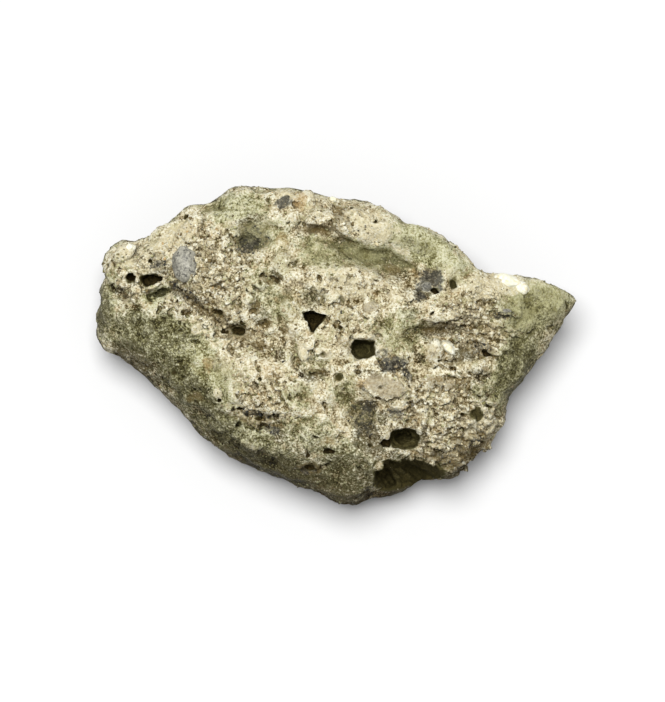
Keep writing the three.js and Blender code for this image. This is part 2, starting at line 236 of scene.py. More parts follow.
CHALK = [
    Spot("west lobe tip", -13.5, 6.5, 0.6, 0.35, -10, 1.0),
    Spot("west lobe", -12.6, 6.0, 2.2, 1.2, -8, 0.65),
    Spot("speck by the slanted trough", -10.8, 3.2, 0.35, 0.3, 0, 0.9),
    Spot("ridge over the slanted trough", -12.0, 3.98, 0.85, 0.2, 25, 0.9),
    Spot("north ridge", 2.6, 7.8, 1.3, 1.0, -12, 1.0),
    Spot("north ridge, west", 1.4, 8.4, 1.0, 0.9, 0, 0.6),
    Spot("north edge", -3.1, 10.15, 0.8, 0.25, -6, 0.9),
    Spot("north edge, east", -0.1, 9.75, 0.25, 0.2, 0, 1.0),
    Spot("north edge, grey glaze", -1.2, 9.1, 0.8, 0.6, 0, 0.5),
    # painted highlight on the plateau's lip, which faces the light
    Spot("plateau's lip", 0.6, 5.0, 2.1, 0.18, 1, 0.9),
    Spot("plateau", 0.6, 3.9, 2.2, 0.9, 0, 0.55),
    Spot("streak by the crevice", -8.8, 1.2, 0.9, 0.35, 28, 0.8),
    Spot("centre knob", -2.0, -0.4, 0.4, 0.55, 0, 0.9),
    Spot("ringed knob", -0.6, -0.5, 0.7, 0.45, 0, 0.6),
    Spot("south-west mass", -7.2, -1.1, 1.3, 1.0, 0, 0.4),
    Spot("west shoulder bubble", -7.7, -3.1, 0.35, 0.35, 0, 0.9),
    Spot("south middle", -1.2, -2.6, 0.5, 0.6, 30, 0.5),
    Spot("pale ridge", 0.5, -4.5, 0.4, 1.0, 0, 0.35),
    Spot("wing root", 11.5, 4.15, 1.3, 0.7, -18, 0.9),
    Spot("over the great bubble", 6.4, -5.4, 1.2, 0.5, 0, 0.2),
    Spot("south-east edge", 10.2, -5.2, 0.9, 0.7, 0, 0.6),
    Spot("over the south edge", 2.4, -7.3, 0.5, 0.7, 0, 0.35),
    Spot("east glaze", 4.0, 3.3, 0.6, 0.4, 0, 0.6),
    Spot("middle glaze", 3.4, -0.3, 0.5, 0.4, 0, 0.5),
    Spot("west sand mass", -8.6, 5.6, 2.0, 1.6, 0, 0.4),
    Spot("south-east mass", 7.2, -4.4, 1.6, 1.0, 0, 0.2),
    Spot("wing root, foot", 9.5, 3.9, 1.0, 0.8, 0, 0.85),
    Spot("ringed bubble's rim", 9.9, -4.0, 0.8, 0.6, -20, 0.6),
    Spot("west lobe, by the twins", -13.8, 5.0, 0.8, 1.0, 0, 0.3),
    Spot("middle", 0.4, 3.2, 1.6, 1.0, 0, 0.3),
    Spot("wing root, west", 10.4, 3.9, 1.0, 0.8, 0, 0.6),
    Spot("over the square bubble", 1.9, 0.65, 0.75, 0.16, 0, 0.9),
    Spot("knob by the north hollow", -3.4, 5.3, 0.5, 0.9, 0, 0.3),
    Spot("froth on the north-east ridge", 4.5, 6.3, 0.6, 0.22, -20, 0.8),
    Spot("north-east ridge's froth, top", 4.25, 7.6, 0.25, 0.35, 0, 0.7),
    Spot("by the ringed bubble", 9.4, -5.3, 0.9, 0.45, 10, 0.7),
    Spot("orange knob", 6.5, -0.3, 0.4, 0.6, 0, 0.7),
    Spot("buff clast's west end", 2.3, -3.0, 0.5, 0.5, 0, 0.6),
    Spot("rim of the south-west pits", -5.6, -4.75, 1.1, 0.16, -12, 0.7),
    Spot("bulge at the south-west edge", -5.5, -6.6, 0.9, 0.4, -15, 0.4),
    Spot("north-west edge", -10.3, 7.4, 1.6, 0.7, 30, 0.75),
    Spot("north-east edge", 7.6, 4.9, 1.2, 0.5, -30, 0.45),
    Spot("east bulge", 8.2, 2.2, 0.8, 0.5, 0, 0.35),
    Spot("middle east", 4.2, 0.8, 0.7, 0.5, 0, 0.35),
    Spot("north edge, middle", -1.0, 9.9, 0.9, 0.3, -8, 0.6),
]

# Brown stains, and in a few places painted shade under bulges and edges.
UMBER = [
    Spot("west sand mass, east side", -7.2, 5.2, 1.0, 1.6, 10, 0.3),
    # partly painted shadow: the sand mass's edge shades the glass along the crevice
    Spot("crevice", -8.8, 2.6, 1.6, 0.35, -37, 0.9),
    Spot("crevice, south end", -6.3, 0.9, 1.1, 0.5, 0, 0.9),
    Spot("north ridge's west end", 0.4, 8.8, 0.6, 0.7, 0, 0.8),
    # painted shade under the bulge in the north gap
    Spot("north gap", -1.0, 7.8, 1.4, 0.35, 0, 0.8),
    # painted shade under the east bulge
    Spot("under the east bulge", 7.0, 1.15, 1.4, 0.35, 5, 0.65),
    Spot("east streaks", 9.8, 1.6, 1.9, 1.8, -10, 0.1),
    Spot("east crevice", 9.6, -0.2, 1.3, 0.6, -15, 0.8),
    Spot("below the white grain", 7.8, -1.0, 0.8, 0.25, -5, 0.9),
    Spot("brown dents", -4.3, 4.5, 0.8, 0.4, 0, 0.9),
    Spot("brown dent over the hollow", -5.2, 2.6, 0.4, 0.5, 0, 0.9),
    Spot("south-west pits", -5.3, -4.8, 1.5, 0.5, -12, 0.9),
    Spot("centre dent", -1.1, -1.8, 0.6, 0.25, 0, 0.8),
    Spot("south-east edge", 8.4, -7.2, 1.8, 0.6, 25, 0.8),
    Spot("lip of the cave", 6.6, -7.4, 1.6, 0.3, -15, 0.7),
    Spot("west lobe, dents", -14.8, 5.7, 0.4, 0.4, 0, 0.5),
    Spot("west shoulder, dents", -9.2, -3.4, 0.6, 0.5, 0, 0.6),
    Spot("crevice, south pit", -6.2, 0.9, 0.7, 0.5, 0, 1.0),
    Spot("brown pits by the hollow", -3.3, 1.1, 0.4, 0.35, 0, 1.0),
    Spot("south brown pits", -1.6, -8.1, 0.75, 0.4, 0, 1.2),
    Spot("groove in the middle", -4.9, 0.0, 0.9, 0.25, -8, 0.8),
    Spot("brown hollow", -4.6, 1.5, 0.4, 0.35, 0, 1.0),
    Spot("east streaks, top", 10.1, 2.85, 0.8, 0.25, -5, 0.7),
    Spot("east streaks, middle", 11.0, 2.0, 0.9, 0.22, -8, 0.7),
    Spot("east streaks, low", 10.3, 1.25, 0.9, 0.25, -8, 0.7),
    Spot("east streaks, foot", 9.8, 0.6, 1.2, 0.25, -12, 0.6),
    Spot("east lower", 7.4, -2.4, 1.8, 0.5, -8, 0.7),
    Spot("crevice, middle", -7.6, 1.9, 0.8, 0.4, -40, 0.9),
    Spot("south-east edge, inner", 8.6, -6.2, 1.2, 0.4, 0, 0.7),
    Spot("buff clast, west", 2.9, -3.1, 0.6, 0.3, -20, 0.5),
    Spot("trough's dark end", 3.9, 5.1, 0.7, 0.35, -20, 0.8),
    # partly painted shade along the south-east edge
    Spot("south-east edge, outer", 8.8, -6.9, 1.8, 0.6, 40, 1.4),
]

BUFF = [
    Spot("buff clast", 3.4, -2.7, 1.5, 0.8, -20, 0.75),
    Spot("ringed knob", -0.7, -0.5, 0.5, 0.4, 10, 0.5),
    Spot("orange knob", 6.65, -0.5, 0.36, 0.7, -8, 0.4),
    Spot("cream knob", 2.4, 2.6, 0.5, 0.36, 10, 0.7),
]

# Smooth clear glass over the froth
GLAZE = [
    Spot("wing", 13.4, 2.5, 2.6, 1.8, 18, 1.0),
    Spot("north hollow", -5.5, 7.3, 1.4, 1.1, 10, 0.8),
    Spot("trough", 2.6, 5.8, 2.4, 0.8, -12, 0.7),
    Spot("trough, west end", -0.8, 6.4, 1.2, 0.8, 0, 0.5),
    Spot("north-east ridge's patches", 3.7, 7.3, 0.6, 0.5, 0, 0.9),
    Spot("north-east ridge, east", 6.0, 6.5, 0.8, 0.5, -20, 0.9),
    Spot("right flank", 12.2, -0.8, 1.3, 2.4, -25, 0.55),
    Spot("over the triangle", -1.3, 3.2, 0.9, 0.6, 0, 0.6),
    Spot("grey hollow", 1.9, -4.7, 0.8, 1.0, 10, 0.5),
    Spot("west shoulder, east end", -7.2, -1.9, 0.8, 0.7, -40, 0.5),
    Spot("knob by the north hollow", -3.4, 5.4, 0.6, 0.9, 0, 0.6),
    Spot("west of the triangle", -3.0, 2.6, 0.8, 1.0, 0, 0.4),
    Spot("east of the triangle", 0.6, 2.0, 0.7, 0.6, 0, 0.4),
    Spot("north of the plateau", 0.6, 5.7, 2.4, 0.45, 0, 0.5),
    Spot("north-east ridge, middle", 4.8, 6.9, 0.6, 0.5, 0, 0.8),
]

# Soft hollows in the top face. The amount is the depth.
DENTS = [
    Spot("north hollow", -5.6, 6.8, 0.95, 0.6, 10, 0.9),
    Spot("north hollow, upper part", -5.3, 7.7, 1.0, 0.7, 20, 0.35),
    Spot("north gap", -1.0, 7.75, 1.1, 0.3, -6, 0.5),
    Spot("north gap, west", -2.1, 8.1, 0.5, 0.2, 15, 0.4),
    Spot("trough's dark end", 3.75, 4.85, 0.7, 0.35, -15, 0.6),
    Spot("trough, middle", 2.7, 5.6, 0.9, 0.3, 0, 0.2),
    Spot("brown hollow", -4.65, 1.5, 0.45, 0.4, 0, 0.7),
    Spot("brown dent over the hollow", -5.2, 2.6, 0.3, 0.5, 0, 0.35),
    Spot("north brown dents", -4.2, 4.55, 0.6, 0.3, -10, 0.4),
    Spot("under the east bulge", 6.9, 1.1, 1.4, 0.45, 3, 0.6),
    Spot("under the east bulge, east end", 8.3, 1.4, 0.6, 0.4, 10, 0.4),
    Spot("groove in the middle", -4.9, 0.0, 1.0, 0.3, -8, 0.3),
    Spot("crevice", -8.9, 2.7, 1.6, 0.35, -38, 0.25),
    Spot("over the triangle", -1.3, 3.1, 0.8, 0.6, 0, 0.3),
    Spot("west notch", -14.5, 3.7, 0.9, 0.35, -35, 0.6),
    Spot("centre dent", -1.2, -1.85, 0.6, 0.25, -10, 0.35),
    Spot("grey hollow", 1.95, -4.5, 0.7, 0.9, 5, 0.4),
    Spot("south-west pits", -5.2, -4.9, 1.6, 0.5, -12, 0.35),
    Spot("by the small ring", 0.7, -3.1, 0.6, 0.6, 0, 0.3),
    Spot("groove by the centre knob", -2.6, -0.9, 0.25, 0.6, 20, 0.4),
    Spot("slanted trough", -11.8, 3.45, 0.8, 0.3, 24, 0.6),
    Spot("west pit", -13.2, 2.6, 0.4, 0.2, -20, 0.3),
]

# Corners where the rim stands further out. The amount is how far.
CORNERS = [
    Spot("west corner", -15.2, 0.4, 0.9, 0.8, 0, 0.45),
    Spot("west notch", -15.2, 3.8, 0.5, 0.6, 0, 0.35),
    Spot("south-west edge", -8.0, -6.2, 2.2, 0.8, -38, 0.25),
    Spot("north-east ridge", 6.6, 7.3, 1.0, 0.8, -30, 0.25),
    Spot("north edge", -2.3, 10.0, 1.2, 0.7, 0, 0.2),
]

# Lumps of crust with a place of their own: middle, half sizes along and across, height and turn in degrees.
Knob = namedtuple("Knob", "what x y long wide high turn")

KNOBS = [
    Knob("ridge over the slanted trough", -11.85, 4.0, 0.9, 0.13, 0.5, 27),
    Knob("rim of the round twin, west", -13.95, 4.0, 0.35, 0.28, 0.25, -20),
    Knob("rim of the round twin, south", -13.3, 3.55, 0.35, 0.4, 0.3, 0),
    Knob("between the twins", -12.98, 4.1, 0.22, 0.3, 0.25, 0),
    Knob("streak by the crevice", -8.7, 1.25, 0.8, 0.16, 0.35, 28),
    Knob("streak by the crevice, foot", -8.9, 0.9, 0.6, 0.13, 0.3, 20),
    Knob("centre knob", -2.05, -0.45, 0.35, 0.55, 0.4, 10),
    Knob("centre knob, top", -1.55, 0.05, 0.4, 0.3, 0.3, 0),
    Knob("ringed knob", -0.7, -0.5, 0.6, 0.5, 0.3, 10),
    Knob("orange knob", 6.65, -0.4, 0.58, 0.85, 0.55, -8),
    Knob("bulge in the north gap", -1.15, 8.28, 0.85, 0.3, 0.3, 0),
    Knob("white knob on the lip", 0.02, 4.75, 0.3, 0.28, 0.35, 0),
    Knob("cream knob", 2.4, 2.6, 0.55, 0.42, 0.3, 10),
    Knob("lilac knob", -5.6, 3.1, 0.38, 0.32, 0.35, 20),
    Knob("knobs over the south edge", 2.4, -7.3, 0.4, 0.6, 0.25, 10),
    Knob("bulge at the south-west edge", -5.4, -6.4, 0.9, 0.5, 0.25, -15),
    Knob("ringed bubble's rim", 9.7, -4.1, 0.6, 0.5, 0.25, -20),
    Knob("small ringed bubble's rim", 0.3, -2.05, 0.45, 0.43, 0.14, 0),
    Knob("crescent by the ringed bubble", 10.35, -3.75, 0.45, 0.15, 0.25, -15),
    Knob("buff clast's bed", 3.3, -2.7, 1.6, 0.9, 0.14, -20),
    Knob("north-west corner", -13.9, 6.1, 0.9, 0.6, 0.8, 25),
    Knob("north-west edge", -11.2, 7.5, 1.4, 0.6, 0.8, 32),
    Knob("knob by the north hollow", -3.4, 5.4, 0.65, 0.85, 0.3, 10),
    Knob("over the square bubble", 1.9, 0.65, 0.7, 0.18, 0.3, 0),
    Knob("west of the triangle", -3.0, 2.4, 0.6, 0.7, 0.25, 20),
    Knob("south of the square bubble", 1.2, -1.5, 0.7, 0.4, 0.25, 0),
    Knob("east of the triangle", 0.4, 2.3, 0.6, 0.5, 0.2, 0),
    Knob("east bulge", 7.1, 2.1, 1.25, 0.55, 0.3, 6),
]

# Burst bubbles and gaps: middle of the mouth, half sizes along, across and down, and turn in degrees.
Hole = namedtuple("Hole", "what x y long wide deep turn")

HOLES = [
    Hole("twin, round", -13.48, 4.54, 0.36, 0.36, 1.6, 0),
    Hole("small, over the long twin", -12.2, 5.65, 0.14, 0.12, 0.4, 0),
    Hole("north-west dent", -14.3, 5.85, 0.2, 0.12, 0.3, 0),
    Hole("north-east bubble", 6.66, 3.62, 0.34, 0.22, 1.0, -12),
    Hole("west shoulder bubble", -7.62, -3.6, 0.18, 0.18, 0.8, 0),
    Hole("south slot", -0.35, -6.95, 0.5, 0.22, 0.8, -6),
    Hole("crevice hole, south, top", -6.05, 1.6, 0.18, 0.18, 0.6, 0),
    Hole("crevice hole, north", -7.85, 2.3, 0.17, 0.15, 0.8, 0),
    Hole("east crevice, lower", 10.1, -0.54, 0.3, 0.22, 0.9, -10),
    Hole("below the orange knob", 6.65, -1.45, 0.18, 0.1, 0.5, 0),
    Hole("north ridge speck", 2.7, 8.2, 0.2, 0.15, 0.4, 0),
    Hole("north ridge speck, small", 1.62, 7.65, 0.1, 0.09, 0.4, 0),
    Hole("north dot", 1.2, 9.15, 0.1, 0.1, 0.4, 0),
    Hole("middle speck", 0.45, 1.18, 0.17, 0.15, 0.5, 0),
    Hole("by the great bubble", 2.4, -6.6, 0.2, 0.16, 0.5, 20),
    Hole("clast speck", 3.05, -2.72, 0.14, 0.1, 0.3, 0),
    Hole("clast speck, east", 4.0, -2.25, 0.12, 0.07, 0.3, 0),
    Hole("rim nick", -9.8, 8.6, 0.2, 0.14, 0.5, 30),
    Hole("centre dots", -1.4, -0.35, 0.12, 0.14, 0.6, 0),
    Hole("south-west pit, north", -6.25, -4.1, 0.15, 0.12, 0.5, 0),
    Hole("south-west pit, east", -4.95, -4.8, 0.28, 0.12, 0.7, 0),
    Hole("south-west pit, bottom", -4.6, -6.3, 0.18, 0.1, 0.4, 0),
    Hole("south-west dot", -6.15, -1.1, 0.09, 0.08, 0.4, 0),
    Hole("south-west speck", -4.9, -2.2, 0.12, 0.1, 0.4, 0),
    Hole("south brown pits", -1.6, -8.05, 0.34, 0.17, 0.8, -10),
    Hole("south dot", 0.28, -6.35, 0.08, 0.1, 0.4, 0),
    Hole("west shoulder dot", -10.25, 1.05, 0.25, 0.1, 0.3, 0),
    Hole("west shoulder pits", -10.5, -1.75, 0.25, 0.12, 0.3, 20),
    Hole("west shoulder, low pits", -9.0, -3.65, 0.3, 0.12, 0.3, 0),
    Hole("crescent", 10.2, -3.98, 0.3, 0.1, 0.4, -15),
    Hole("south-east dots", 8.45, -4.5, 0.2, 0.1, 0.4, 0),
    Hole("crevice, south pit", -6.3, 1.0, 0.42, 0.26, 0.9, -8),
    Hole("crevice, middle pit", -7.55, 2.25, 0.2, 0.16, 0.7, 0),
    Hole("crevice, west pit", -7.25, 0.95, 0.24, 0.14, 0.6, 0),
]

# Ragged rows of gaps: half width, depth and the line that they follow.
Crack = namedtuple("Crack", "what wide deep points")

CRACKS = [
    Crack("crevice", 0.13, 0.6, [(-10.4, 3.9), (-9.7, 3.35), (-9.1, 2.8), (-8.4, 2.3)]),
    Crack("crevice, south end", 0.12, 0.5, [(-7.6, 1.65), (-7.3, 1.0), (-6.9, 1.2), (-6.3, 1.4)]),
    Crack("crevice, side arm", 0.14, 0.6, [(-8.0, 2.5), (-7.6, 2.2), (-7.3, 1.8)]),
    Crack("north gap, west", 0.1, 0.5, [(-2.6, 7.95), (-2.1, 8.15), (-1.7, 7.9)]),
    Crack("north gap, east", 0.1, 0.5, [(-0.5, 7.75), (-0.15, 8.1), (0.1, 8.3)]),
    Crack("over the long twin", 0.14, 0.5, [(-12.1, 5.45), (-11.6, 5.4), (-11.2, 5.3)]),
    Crack("south-east slit", 0.08, 0.5, [(7.0, -3.9), (7.5, -3.85), (8.1, -3.7)]),
    Crack("south-east slit, low", 0.1, 0.6, [(8.0, -6.0), (8.8, -6.25), (9.9, -6.4)]),
    Crack("south-west pits", 0.2, 0.9, [
        (-6.5, -4.3), (-5.8, -4.45), (-5.2, -4.35), (-4.6, -4.75), (-3.7, -4.7),
    ]),
    Crack("south-west pits, low", 0.19, 0.8, [(-6.4, -5.0), (-5.8, -5.3), (-5.2, -5.4), (-4.4, -5.3)]),
    Crack("east gap", 0.1, 0.4, [(10.6, 1.9), (11.1, 2.05), (11.9, 2.15)]),
    Crack("below the white grain", 0.1, 0.5, [(6.9, -0.95), (7.5, -1.0), (8.2, -0.9)]),
    Crack("east crevice", 0.19, 0.8, [(8.8, 0.0), (9.2, 0.3), (9.6, 0.2), (9.6, -0.1), (10.1, -0.3)]),
    Crack("brown dents", 0.14, 0.4, [(-4.8, 4.7), (-4.2, 4.6), (-3.7, 4.3)]),
    Crack("brown dent over the hollow", 0.1, 0.4, [(-5.8, 3.6), (-5.3, 3.4), (-5.2, 2.7)]),
    Crack("middle dents", 0.1, 0.35, [(1.6, 2.2), (2.0, 1.9), (2.4, 1.7)]),
    Crack("groove by the centre knob", 0.1, 0.3, [(-2.6, -0.5), (-2.7, -1.1)]),
    Crack("centre dent", 0.1, 0.4, [(-1.6, -1.8), (-1.1, -1.75), (-0.7, -1.9)]),
    Crack("by the ringed bubble", 0.1, 0.4, [(8.3, -3.3), (8.8, -3.45), (9.0, -3.8)]),
    Crack("groove in the middle", 0.08, 0.25, [(-5.8, 0.15), (-5.0, 0.0)]),
    Crack("under the buff clast", 0.08, 0.25, [(2.5, -3.3), (3.3, -3.6), (4.3, -3.4)]),
    Crack("north ridge's west end", 0.12, 0.5, [(0.2, 9.1), (0.6, 8.7), (1.0, 8.3), (0.9, 7.8)]),
    Crack("lip of the cave", 0.1, 0.5, [(4.4, -7.5), (5.4, -7.45), (6.4, -7.6), (7.6, -7.9)]),
    Crack("south brown pits", 0.15, 0.5, [
        (-2.4, -8.25), (-1.9, -8.05), (-1.5, -7.95), (-1.1, -8.25), (-0.8, -8.0),
    ]),
    Crack("brown pits by the hollow", 0.1, 0.3, [(-3.6, 1.2), (-3.3, 0.9), (-3.0, 1.1)]),
    Crack("east streaks, top", 0.13, 0.5, [(9.5, 2.95), (9.9, 2.8), (10.4, 2.9), (10.8, 2.75)]),
    Crack("east streaks, middle", 0.12, 0.45, [(10.2, 2.2), (10.7, 2.1), (11.3, 1.95), (11.9, 1.85)]),
    Crack("east streaks, low", 0.12, 0.45, [(9.6, 1.5), (10.2, 1.35), (10.7, 1.1), (11.3, 1.2)]),
    Crack("east streaks, foot", 0.12, 0.45, [(8.7, 0.9), (9.4, 0.75), (10.1, 0.7), (10.9, 0.3)]),
    Crack("south-east crust", 0.12, 0.45, [(5.6, -3.6), (6.2, -3.9), (6.9, -4.6)]),
    Crack("south-east crust, edge", 0.12, 0.5, [(8.4, -5.5), (9.1, -5.4), (10.0, -5.8)]),
]

# Shallow bubbles with a lit floor
RINGS = [
    Hole("ringed bubble", 9.45, -4.5, 0.42, 0.45, 0.7, 0),
    Hole("small ringed bubble", 0.3, -2.04, 0.36, 0.32, 0.5, 0),
    Hole("north-east ring", 7.85, 4.15, 0.38, 0.38, 0.6, 0),
    Hole("ring on the knob", -0.72, -0.55, 0.2, 0.18, 0.3, 0),
]

CAVE = [
    Hole("cave", 5.15, -8.65, 2.05, 1.15, 3.1, -15),
    Hole("cave, west arm", 3.6, -8.75, 0.95, 1.0, 2.8, 40),
]
CAVE_MIDDLE = 6.2  # its height above the resting surface

# Bubbles with a cornered mouth: its corners clockwise, the depth, the floor's size as a share of the mouth's,
# and how much painted shade darkens the bubble's inside, from 0 to 1.
Mouth = namedtuple("Mouth", "what corners deep floor dark")

MOUTHS = [
    Mouth("triangle hole", [
        (-2.06, 2.24), (-1.52, 2.32), (-0.56, 2.08), (-0.64, 1.87), (-1.35, 0.95), (-1.5, 1.0), (-2.04, 2.04),
    ], 1.9, 0.8, 1.0),
    Mouth("square bubble", [
        (1.17, 0.2), (1.4, 0.43), (2.15, 0.4), (2.71, 0.35), (2.71, -0.55), (2.23, -0.86), (1.53, -0.86),
        (1.2, -0.42),
    ], 2.1, 0.7, 0.38),
    Mouth("great bubble", [
        (3.66, -6.1), (3.95, -5.6), (4.8, -5.46), (5.42, -5.55), (5.66, -6.1), (5.5, -6.7), (4.7, -6.85),
        (3.9, -6.7),
    ], 1.8, 0.75, 0.5),
    Mouth("great bubble's neighbour", [
        (2.95, -6.4), (3.3, -6.08), (3.75, -6.2), (3.7, -6.75), (3.2, -6.75),
    ], 1.2, 0.7, 0.9),
    Mouth("twin, long", [
        (-12.84, 4.55), (-12.3, 4.78), (-11.75, 4.74), (-11.32, 4.57), (-11.4, 4.36), (-12.0, 4.08),
        (-12.4, 3.96), (-12.72, 4.18),
    ], 1.7, 0.85, 0.9),
    Mouth("slanted trough", [
        (-12.35, 3.3), (-11.6, 3.74), (-11.1, 3.9), (-10.98, 3.68), (-11.2, 3.4), (-11.8, 3.2),
    ], 0.4, 0.9, 0.15),
]


# --------------------------------------------------------------------------------------------------
# Meshes
# --------------------------------------------------------------------------------------------------

CUTTER_RISE = 1.2 * MM  # how far a round cutter stands above the surface at least
SHARD_POINTS = 14  # how many points a sand grain's hull is drawn from


def mesh_of(bm, name):
    """A new mesh out of a bmesh, which is freed."""
    mesh = bpy.data.meshes.new(name)
    bm.to_mesh(mesh)
    bm.free()
    return mesh


def shaped(mesh, *steps):
    """The mesh after a chain of modifiers, each given as its type and settings."""
    piece = bpy.data.objects.new(mesh.name, mesh)
    bpy.context.scene.collection.objects.link(piece)
    for kind, settings in steps:
        modifier = piece.modifiers.new(kind, kind)
        for key, value in settings.items():
            setattr(modifier, key, value)
    evaluated = piece.evaluated_get(bpy.context.evaluated_depsgraph_get())
    result = bpy.data.meshes.new_from_object(evaluated)
    bpy.data.objects.remove(piece)
    return result


def in_triangles(mesh):
    """The mesh with its many-sided faces split from their middles, so that thinning leaves it closed."""
    bm = bmesh.new()
    bm.from_mesh(mesh)
    bmesh.ops.poke(bm, faces=[face for face in bm.faces if len(face.verts) > 3])
    return mesh_of(bm, mesh.name)


def difference(mesh, cutter):
    """The mesh less a closed cutter."""
    tool = bpy.data.objects.new("cutter", cutter)
    bpy.context.scene.collection.objects.link(tool)
    result = shaped(mesh, ("BOOLEAN", {"operation": "DIFFERENCE", "solver": "MANIFOLD", "object": tool}))
    bpy.data.objects.remove(tool)
    return result


def corners_of(mesh):
    """Vertex places and the vertex numbers of every triangle."""
    places = np.empty(len(mesh.vertices) * 3, np.float32)
    mesh.vertices.foreach_get("co", places)
    mesh.calc_loop_triangles()
    triangles = np.empty(len(mesh.loop_triangles) * 3, np.int32)
    mesh.loop_triangles.foreach_get("vertices", triangles)
    return places.reshape(-1, 3).astype(float), triangles.reshape(-1, 3)


def normals_of(mesh):
    """The normal of every vertex."""
    normals = np.empty(len(mesh.vertices) * 3, np.float32)
    mesh.vertices.foreach_get("normal", normals)
    return normals.reshape(-1, 3).astype(float)


def set_places(mesh, places):
    mesh.vertices.foreach_set("co", places.astype(np.float32).ravel())
    mesh.update()


def joined(name, copies):
    """One mesh out of copies, each a list of vertex places and a list of triangles."""
    places = np.concatenate([copy[0] for copy in copies])
    starts = np.cumsum([0] + [len(copy[0]) for copy in copies[:-1]])
    triangles = np.concatenate([copy[1] + start for copy, start in zip(copies, starts)])
    mesh = bpy.data.meshes.new(name)
    mesh.vertices.add(len(places))
    mesh.vertices.foreach_set("co", places.astype(np.float32).ravel())
    mesh.loops.add(triangles.size)
    mesh.loops.foreach_set("vertex_index", triangles.astype(np.int32).ravel())
    mesh.polygons.add(len(triangles))
    mesh.polygons.foreach_set("loop_start", np.arange(0, triangles.size, 3, dtype=np.int32))
    mesh.update(calc_edges=True)
    mesh.validate()
    return mesh


def taken(bm):
    """A bmesh's vertex places and triangles."""
    mesh = mesh_of(bm, "shape")
    shape = corners_of(mesh)
    bpy.data.meshes.remove(mesh)
    return shape


def blob(rng, detail, knobs):
    """A knobbly ball of about unit radius, where detail is its subdivisions and knobs is how uneven it is."""
    bm = bmesh.new()
    bmesh.ops.create_icosphere(bm, subdivisions=detail, radius=1.0)
    start = Vector(rng.uniform(-50, 50, 3))
    for vertex in bm.verts:
        coarse, fine = noise.noise(vertex.co * 1.3 + start), noise.noise(vertex.co * 3.1 + start)
        vertex.co *= 1 + knobs * (coarse + 0.5 * fine)
    return taken(bm)


def opened(shape, halves):
    """A unit shape with its upper half drawn up, so that it cuts through any lump over the surface."""
    places, triangles = shape
    raised = places[:, 2] * max(1, CUTTER_RISE / halves.z)
    return np.column_stack((places[:, :2], np.where(places[:, 2] > 0, raised, places[:, 2]))), triangles


def hull(points):
    """The closed hull of points."""
    bm = bmesh.new()
    for point in points:
        bm.verts.new(point)
    result = bmesh.ops.convex_hull(bm, input=bm.verts)
    spare = [item for item in result["geom_interior"] if isinstance(item, bmesh.types.BMVert)]
    bmesh.ops.delete(bm, geom=spare, context="VERTS")
    bmesh.ops.triangulate(bm, faces=bm.faces)
    bmesh.ops.recalc_face_normals(bm, faces=bm.faces)
    return taken(bm)


def shard(rng):
    """A small angular grain: the hull of points on an uneven ball."""
    stretch = Vector(rng.uniform(0.75, 1.15, 3))
    return hull([
        Vector(rng.normal(size=3)).normalized() * rng.uniform(0.85, 1.1) * stretch
        for _ in range(SHARD_POINTS)
    ])


def placed(shape, matrix):
    """A shape's vertex places and triangles after a 4 by 4 transform."""
    places, triangles = shape
    turn = np.array(matrix.to_3x3())
    return places @ turn.T + np.array(matrix.translation), triangles


def upright(middle, halves, turn):
    """The transform of a unit shape to its half sizes, turned about Z in degrees and set in its place."""
    size = Matrix.Diagonal(halves).to_4x4()
    return Matrix.Translation(middle) @ Matrix.Rotation(math.radians(turn), 4, "Z") @ size


def new_piece(name, mesh, material):
    """Puts a finished mesh in the scene with its material, on the stone's body."""
    piece = bpy.data.objects.new(name, mesh)
    bpy.context.scene.collection.objects.link(piece)
    mesh.materials.clear()
    mesh.materials.append(material)
    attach(piece, BODY)
    return piece


# --------------------------------------------------------------------------------------------------
# Zones
# --------------------------------------------------------------------------------------------------

CROWN_BAND = 0.3 * MM  # how far below the frame's top the pressing starts
CROWN_PRESS = 0.5  # what it leaves of the height above that
ABOVE = 50 * MM  # a height well above the stone


def rough_noise(places, size, seed):
    """Smooth noise from about -1 to 1 at places in millimetres."""
    start = Vector((seed * 17.3, seed * 7.1, seed * 3.7))
    return np.array([noise.noise(Vector(p) / size + start) for p in places.tolist()])


def cobbles(places, size, seed):
    """Rounded cells at places in millimetres: 1 at a cell's middle and near 0 between cells."""
    start = Vector((seed * 5.3, seed * 11.1, seed * 2.9))
    return np.array([1 - noise.voronoi(Vector(p) / size + start)[0][0] for p in places.tolist()])


def stepped(value, low, high):
    """0 below low, 1 above high and a soft step between."""
    share = np.clip((value - low) / (high - low), 0, 1)
    return share * share * (3 - 2 * share)


def reach(spot, x, y):
    """Distance of each x, y from the middle of a spot or hole, where 1 is its edge."""
    angle = math.radians(spot.turn)
    dx, dy = x - spot.x, y - spot.y
    along = (dx * math.cos(angle) + dy * math.sin(angle)) / spot.long
    across = (dy * math.cos(angle) - dx * math.sin(angle)) / spot.wide
    return np.hypot(along, across)


def spread(spots, x, y, soft=0.3):
    """How far each x, y lies inside a list of spots: 0 outside and up to each spot's strength within."""
    most = np.zeros(len(x))
    for spot in spots:
        most = np.maximum(most, spot.amount * stepped(-reach(spot, x, y), -1 - soft, -1 + soft))
    return most


def kept_low(places):
    """Places no lower than the resting surface, and pressed gently down where they near the frame's top."""
    crown = CAD_BOX[1][2] - CROWN_BAND
    z = np.maximum(places[:, 2], 0)
    return np.column_stack((places[:, :2], np.where(z > crown, crown + (z - crown) * CROWN_PRESS, z)))


def rim_height(x, y):
    """Height of the stone's widest line, which slopes up towards +Y, all in millimetres."""
    return 5.0 + 0.17 * y + 0.03 * x


